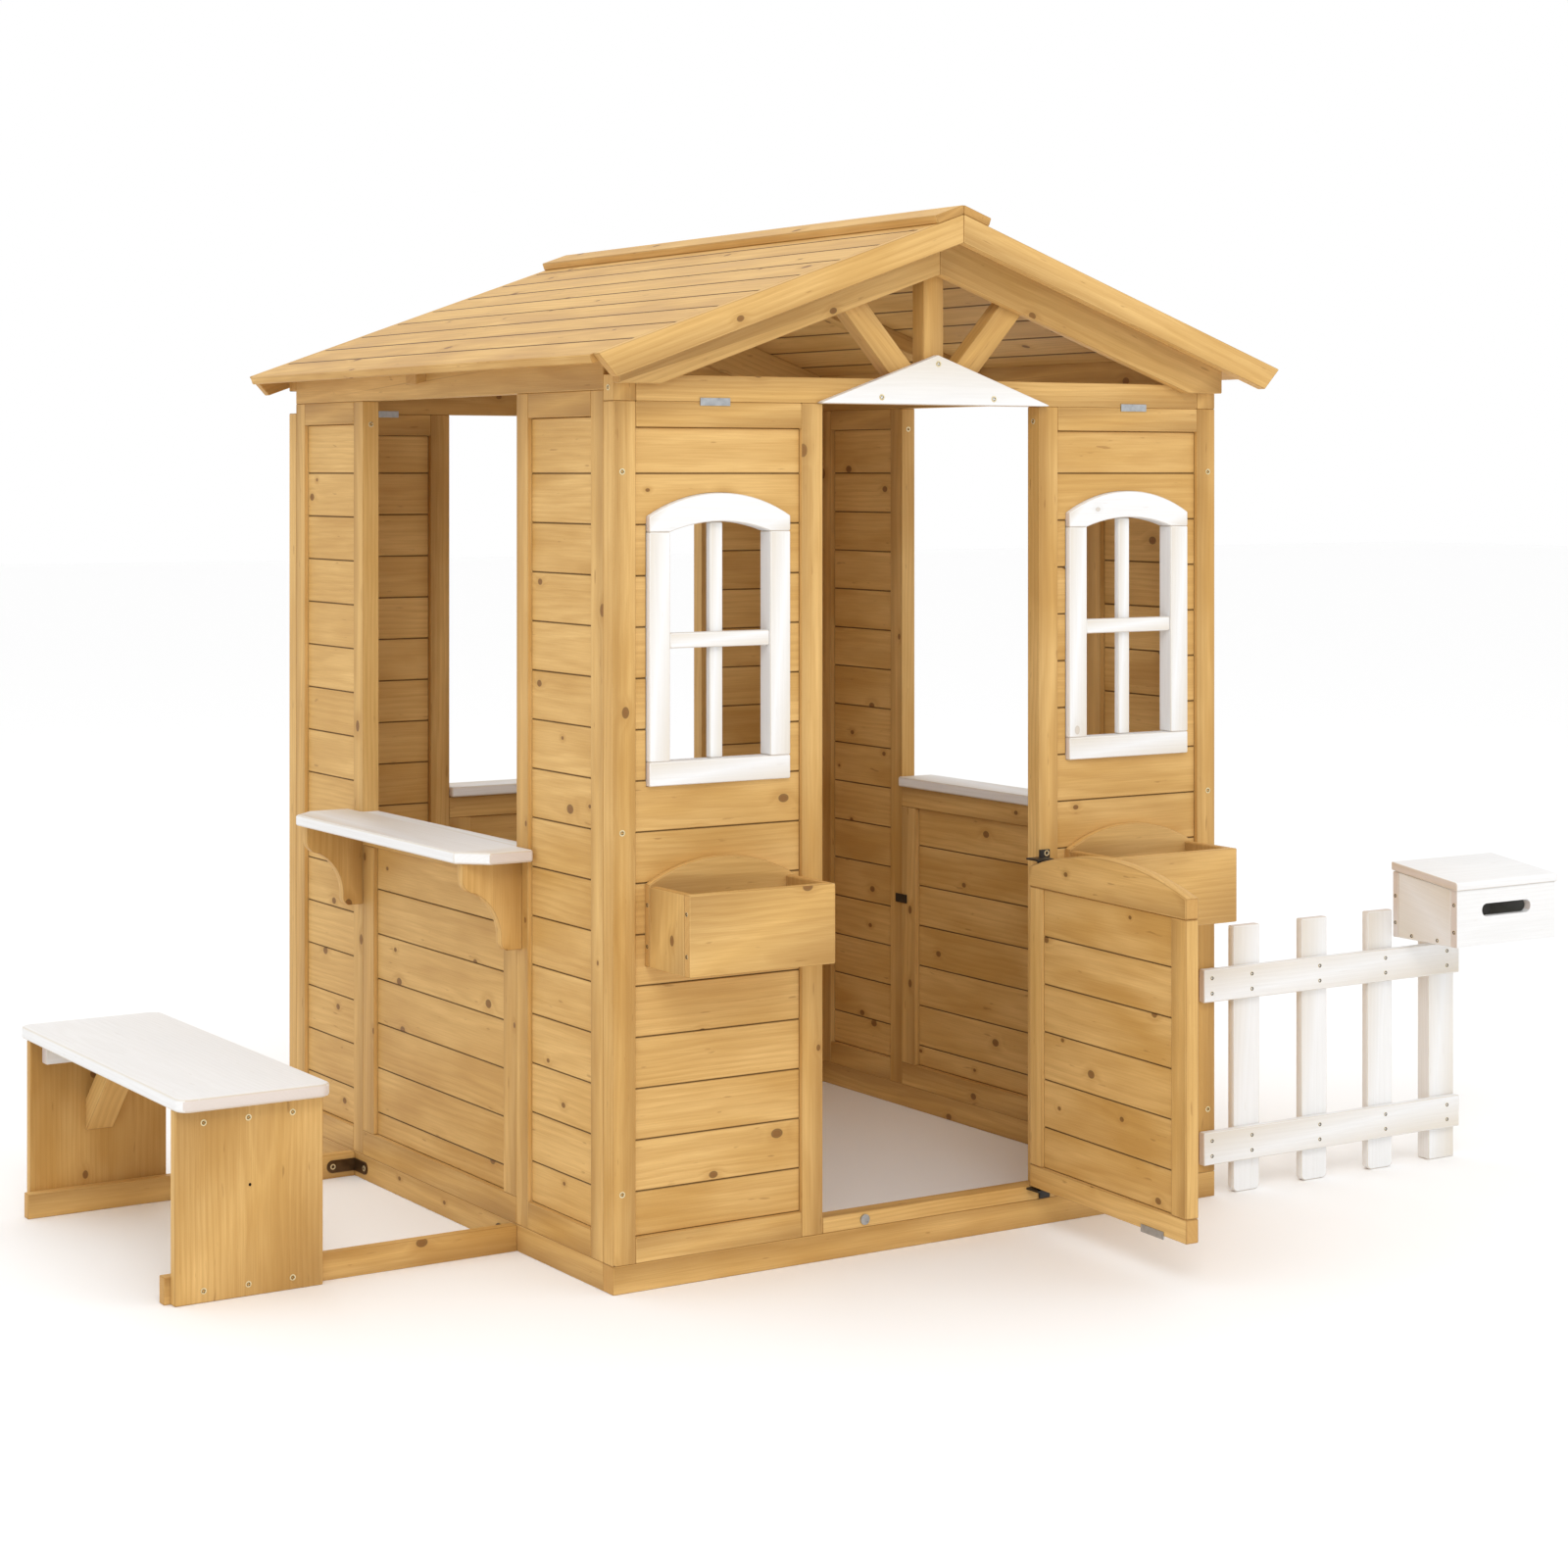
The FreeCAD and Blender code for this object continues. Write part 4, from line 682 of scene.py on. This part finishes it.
def makeDoor():
    for node in ("door_frame", "door_siding"):
        parts = []
        for order, solid in enumerate(solidsOf(node)):
            shut = turnDoor(solid.reshape(-1, 3), doorShut).reshape(-1, 3, 3)
            low = shut.reshape(-1, 3).min(axis=0)
            high = shut.reshape(-1, 3).max(axis=0)
            if node == "door_frame" and order < 2:
                shape = doorFootRail if order == 0 else doorHeadRail
                part = shape(low, high)
                part["axes"] = grainAxes(part["places"], 0)
            else:
                shut = np.round(shut, 6)
                along = 0 if node == "door_siding" else 2
                part = boardFrom(shut, edgeRadius(node), along)
                # painted shade along the door siding's joints and ends
                if node == "door_siding":
                    paintJointShade(part)
                    paintEndShade(part)
            part["places"] = turnDoor(part["places"], -doorShut)
            middle, axes = part["axes"]
            part["axes"] = (turnDoor(middle[None], -doorShut)[0],
                            turnDoor(axes + pivotPlace, -doorShut) - pivotPlace)
            parts.append(part)
        newPiece(pieceName(node), node, parts)


def makeMailbox():
    node = "mailbox_box"
    parts = [boardFrom(solid, edgeRadius(node)) for solid in solidsOf(node)]
    newPiece(pieceName(node), node, parts)


# Countersunk screws with a cross recess. In the white boards they are driven below the paint,
# so that little more than the recess, in painted shade, shows.
screwLook = {"headHeight": 0.6, "sink": 2.2, "shankRadius": 1.9, "crossHalf": 0.7,
             "crossDepth": 2.0, "turns": 24,
             "proud": {"headRadius": 4.2, "crossReach": 2.7, "shade": 2.4},
             "driven": {"headRadius": 2.9, "crossReach": 2.0, "shade": 2.5}}
drivenScrews = ("fence_screws", "box_screws")


def screwSurface(length, head, crossReach, shade):
    # A surface of revolution r(k), h(k) over an angle: a shallow dome, the rim, the cone, the
    # shank and its point. Inside crossReach the dome drops along two crossed arms.
    look = {key: value * millimetre for key, value in screwLook.items()
            if isinstance(value, float)}
    shank = look["shankRadius"]
    r = np.concatenate([np.linspace(0, 0.66, 8) * head, [0.85 * head, 0.97 * head, head],
                        [shank, shank, 0.0]])
    h = np.concatenate([np.zeros(8), [0.0, 0.12 * millimetre, look["headHeight"]],
                        [look["headHeight"] + look["sink"], length - shank, length]])
    angle = np.arange(screwLook["turns"]) * 2 * math.pi / screwLook["turns"]
    x = r[:, None] * np.cos(angle)
    y = r[:, None] * np.sin(angle)
    arm = np.clip((look["crossHalf"] - np.minimum(abs(x), abs(y))) / (0.4 * look["crossHalf"])
                  + 0.5, 0, 1)
    arm = arm * np.clip((crossReach - r[:, None]) / (0.3 * millimetre), 0, 1)
    depth = look["crossDepth"] * arm * np.clip(1.15 - r[:, None] / crossReach, 0, 1)
    z = h[:, None] + depth * (np.arange(len(r)) < 8)[:, None]
    places = np.stack([x, y, z], axis=2)
    rings, count = x.shape
    index = np.arange(rings * count).reshape(rings, count)
    ahead = np.roll(index, -1, axis=1)
    quads = np.stack([index[:-1], index[1:], ahead[1:], ahead[:-1]], axis=2).reshape(-1, 4)
    # painted shade: the disc inside the shade radius, over the cross recess, turns dark
    recess = np.clip((shade - r[:, None]) / (0.5 * millimetre) + 0.5, 0, 1) + 0 * x
    return places.reshape(-1, 3), quads, recess.ravel()


def screwPlaces(solid):
    # The line through the solid's points: its head is at the end where the points stand widest
    points = solid.reshape(-1, 3)
    middle = points.mean(axis=0)
    line = np.linalg.svd(points - middle, full_matrices=False)[2][0]
    along = (points - middle) @ line
    wide = np.linalg.norm(points - middle - along[:, None] * line, axis=1)
    if along[wide.argmax()] > 0:
        line = -line
        along = -along
    return middle + line * along.min(), line, np.ptp(along)


def makeScrews(node):
    kind = screwLook["driven" if node in drivenScrews else "proud"]
    sizes = [kind[key] * millimetre for key in ("headRadius", "crossReach", "shade")]
    columns = []
    offset = 0
    for solid in solidsOf(node):
        head, line, length = screwPlaces(solid)
        places, quads, recess = screwSurface(length, *sizes)
        side = np.cross(line, [0.31, 0.52, 0.79])
        side /= np.linalg.norm(side)
        turn = randomDraw.uniform(0, math.pi / 2)
        first = side * math.cos(turn) + np.cross(line, side) * math.sin(turn)
        second = np.cross(line, first)
        columns.append((head + places @ np.array([first, second, line]), quads + offset, recess))
        offset += len(places)
    places, quads, recess = (np.concatenate(column) for column in zip(*columns))
    mesh = bpy.data.meshes.new(pieceName(node))
    mesh.from_pydata(places.tolist(), [], quads.tolist())
    addLayer(mesh, "recess", "FLOAT", "POINT", recess)
    closePoles(mesh)
    mesh.shade_smooth()
    mesh.set_sharp_from_angle(angle=math.radians(35))
    piece = bpy.data.objects.new(pieceName(node), mesh)
    scene.collection.objects.link(piece)
    finishPiece(piece, node)


def closePoles(mesh):
    # Merges the points that lie on one spot at each pole
    work = bmesh.new()
    work.from_mesh(mesh)
    bmesh.ops.remove_doubles(work, verts=work.verts, dist=1e-7)
    work.to_mesh(mesh)
    work.free()


def dressHardware():
    for node, slot in slotOfNode.items():
        if slot in timberSlots or "screws" in node:
            continue
        mesh = frame["nodes"][node].data
        mesh.materials.clear()
        mesh.materials.append(finishes[slot])


makeTimber()
print("timber made")
makeDoor()
makeMailbox()
for screwNode in ("house_screws", "bench_screws", "fence_screws", "box_screws"):
    makeScrews(screwNode)
dressHardware()
print("door, mailbox and screws made")


# Floor, light and camera
def makeFloor():
    mesh = bpy.data.meshes.new("studioFloor")
    size = 30.0
    mesh.from_pydata([(-size, -size, 0), (size, -size, 0), (size, size, 0), (-size, size, 0)],
                     [], [(0, 1, 2, 3)])
    floor = bpy.data.objects.new("studioFloor", mesh)
    scene.collection.objects.link(floor)
    paper = newFinish("paleStudioPaper")
    closeFinish(paper.node_tree, {"Base Color": linearColor("#FDFDFD"), "Roughness": 0.85})
    mesh.materials.append(paper)


lamps = {
    "keyLight": {"place": (-2.6, -4.4, 4.2), "aim": (0.1, 0.3, 0.5), "size": 2.6, "power": 85},
    "fillLight": {"place": (4.2, -3.6, 3.0), "aim": (0.4, 0.0, 0.5), "size": 3.5, "power": 15},
    "topLight": {"place": (-0.5, 1.0, 5.2), "aim": (0.0, 0.4, 0.6), "size": 4.0, "power": 25},
}


def makeLights():
    for name, look in lamps.items():
        lamp = bpy.data.lights.new(name, "AREA")
        lamp.shape = "DISK"
        lamp.size = look["size"]
        lamp.energy = look["power"]
        item = bpy.data.objects.new(name, lamp)
        item.location = look["place"]
        away = Vector(look["place"]) - Vector(look["aim"])
        item.rotation_euler = away.to_track_quat("Z", "Y").to_euler()
        scene.collection.objects.link(item)
    world = bpy.data.worlds.new("paleRoom")
    world.use_nodes = True
    sky = world.node_tree.nodes["Background"]
    sky.inputs[0].default_value = linearColor("#FFFFFF")
    sky.inputs[1].default_value = 1.0
    scene.world = world


cameraLook = {"place": (-2.3724, -3.3614, 1.0401), "turn": -32.5, "lens": 69.69,
              "shiftY": -0.19875}


def makeCamera():
    lensData = bpy.data.cameras.new("viewCamera")
    lensData.sensor_width = 36.0
    lensData.lens = cameraLook["lens"]
    lensData.shift_y = cameraLook["shiftY"]
    item = bpy.data.objects.new("viewCamera", lensData)
    item.location = cameraLook["place"]
    item.rotation_euler = (math.radians(90), 0, math.radians(cameraLook["turn"]))
    scene.collection.objects.link(item)
    scene.camera = item


makeFloor()
makeLights()
makeCamera()
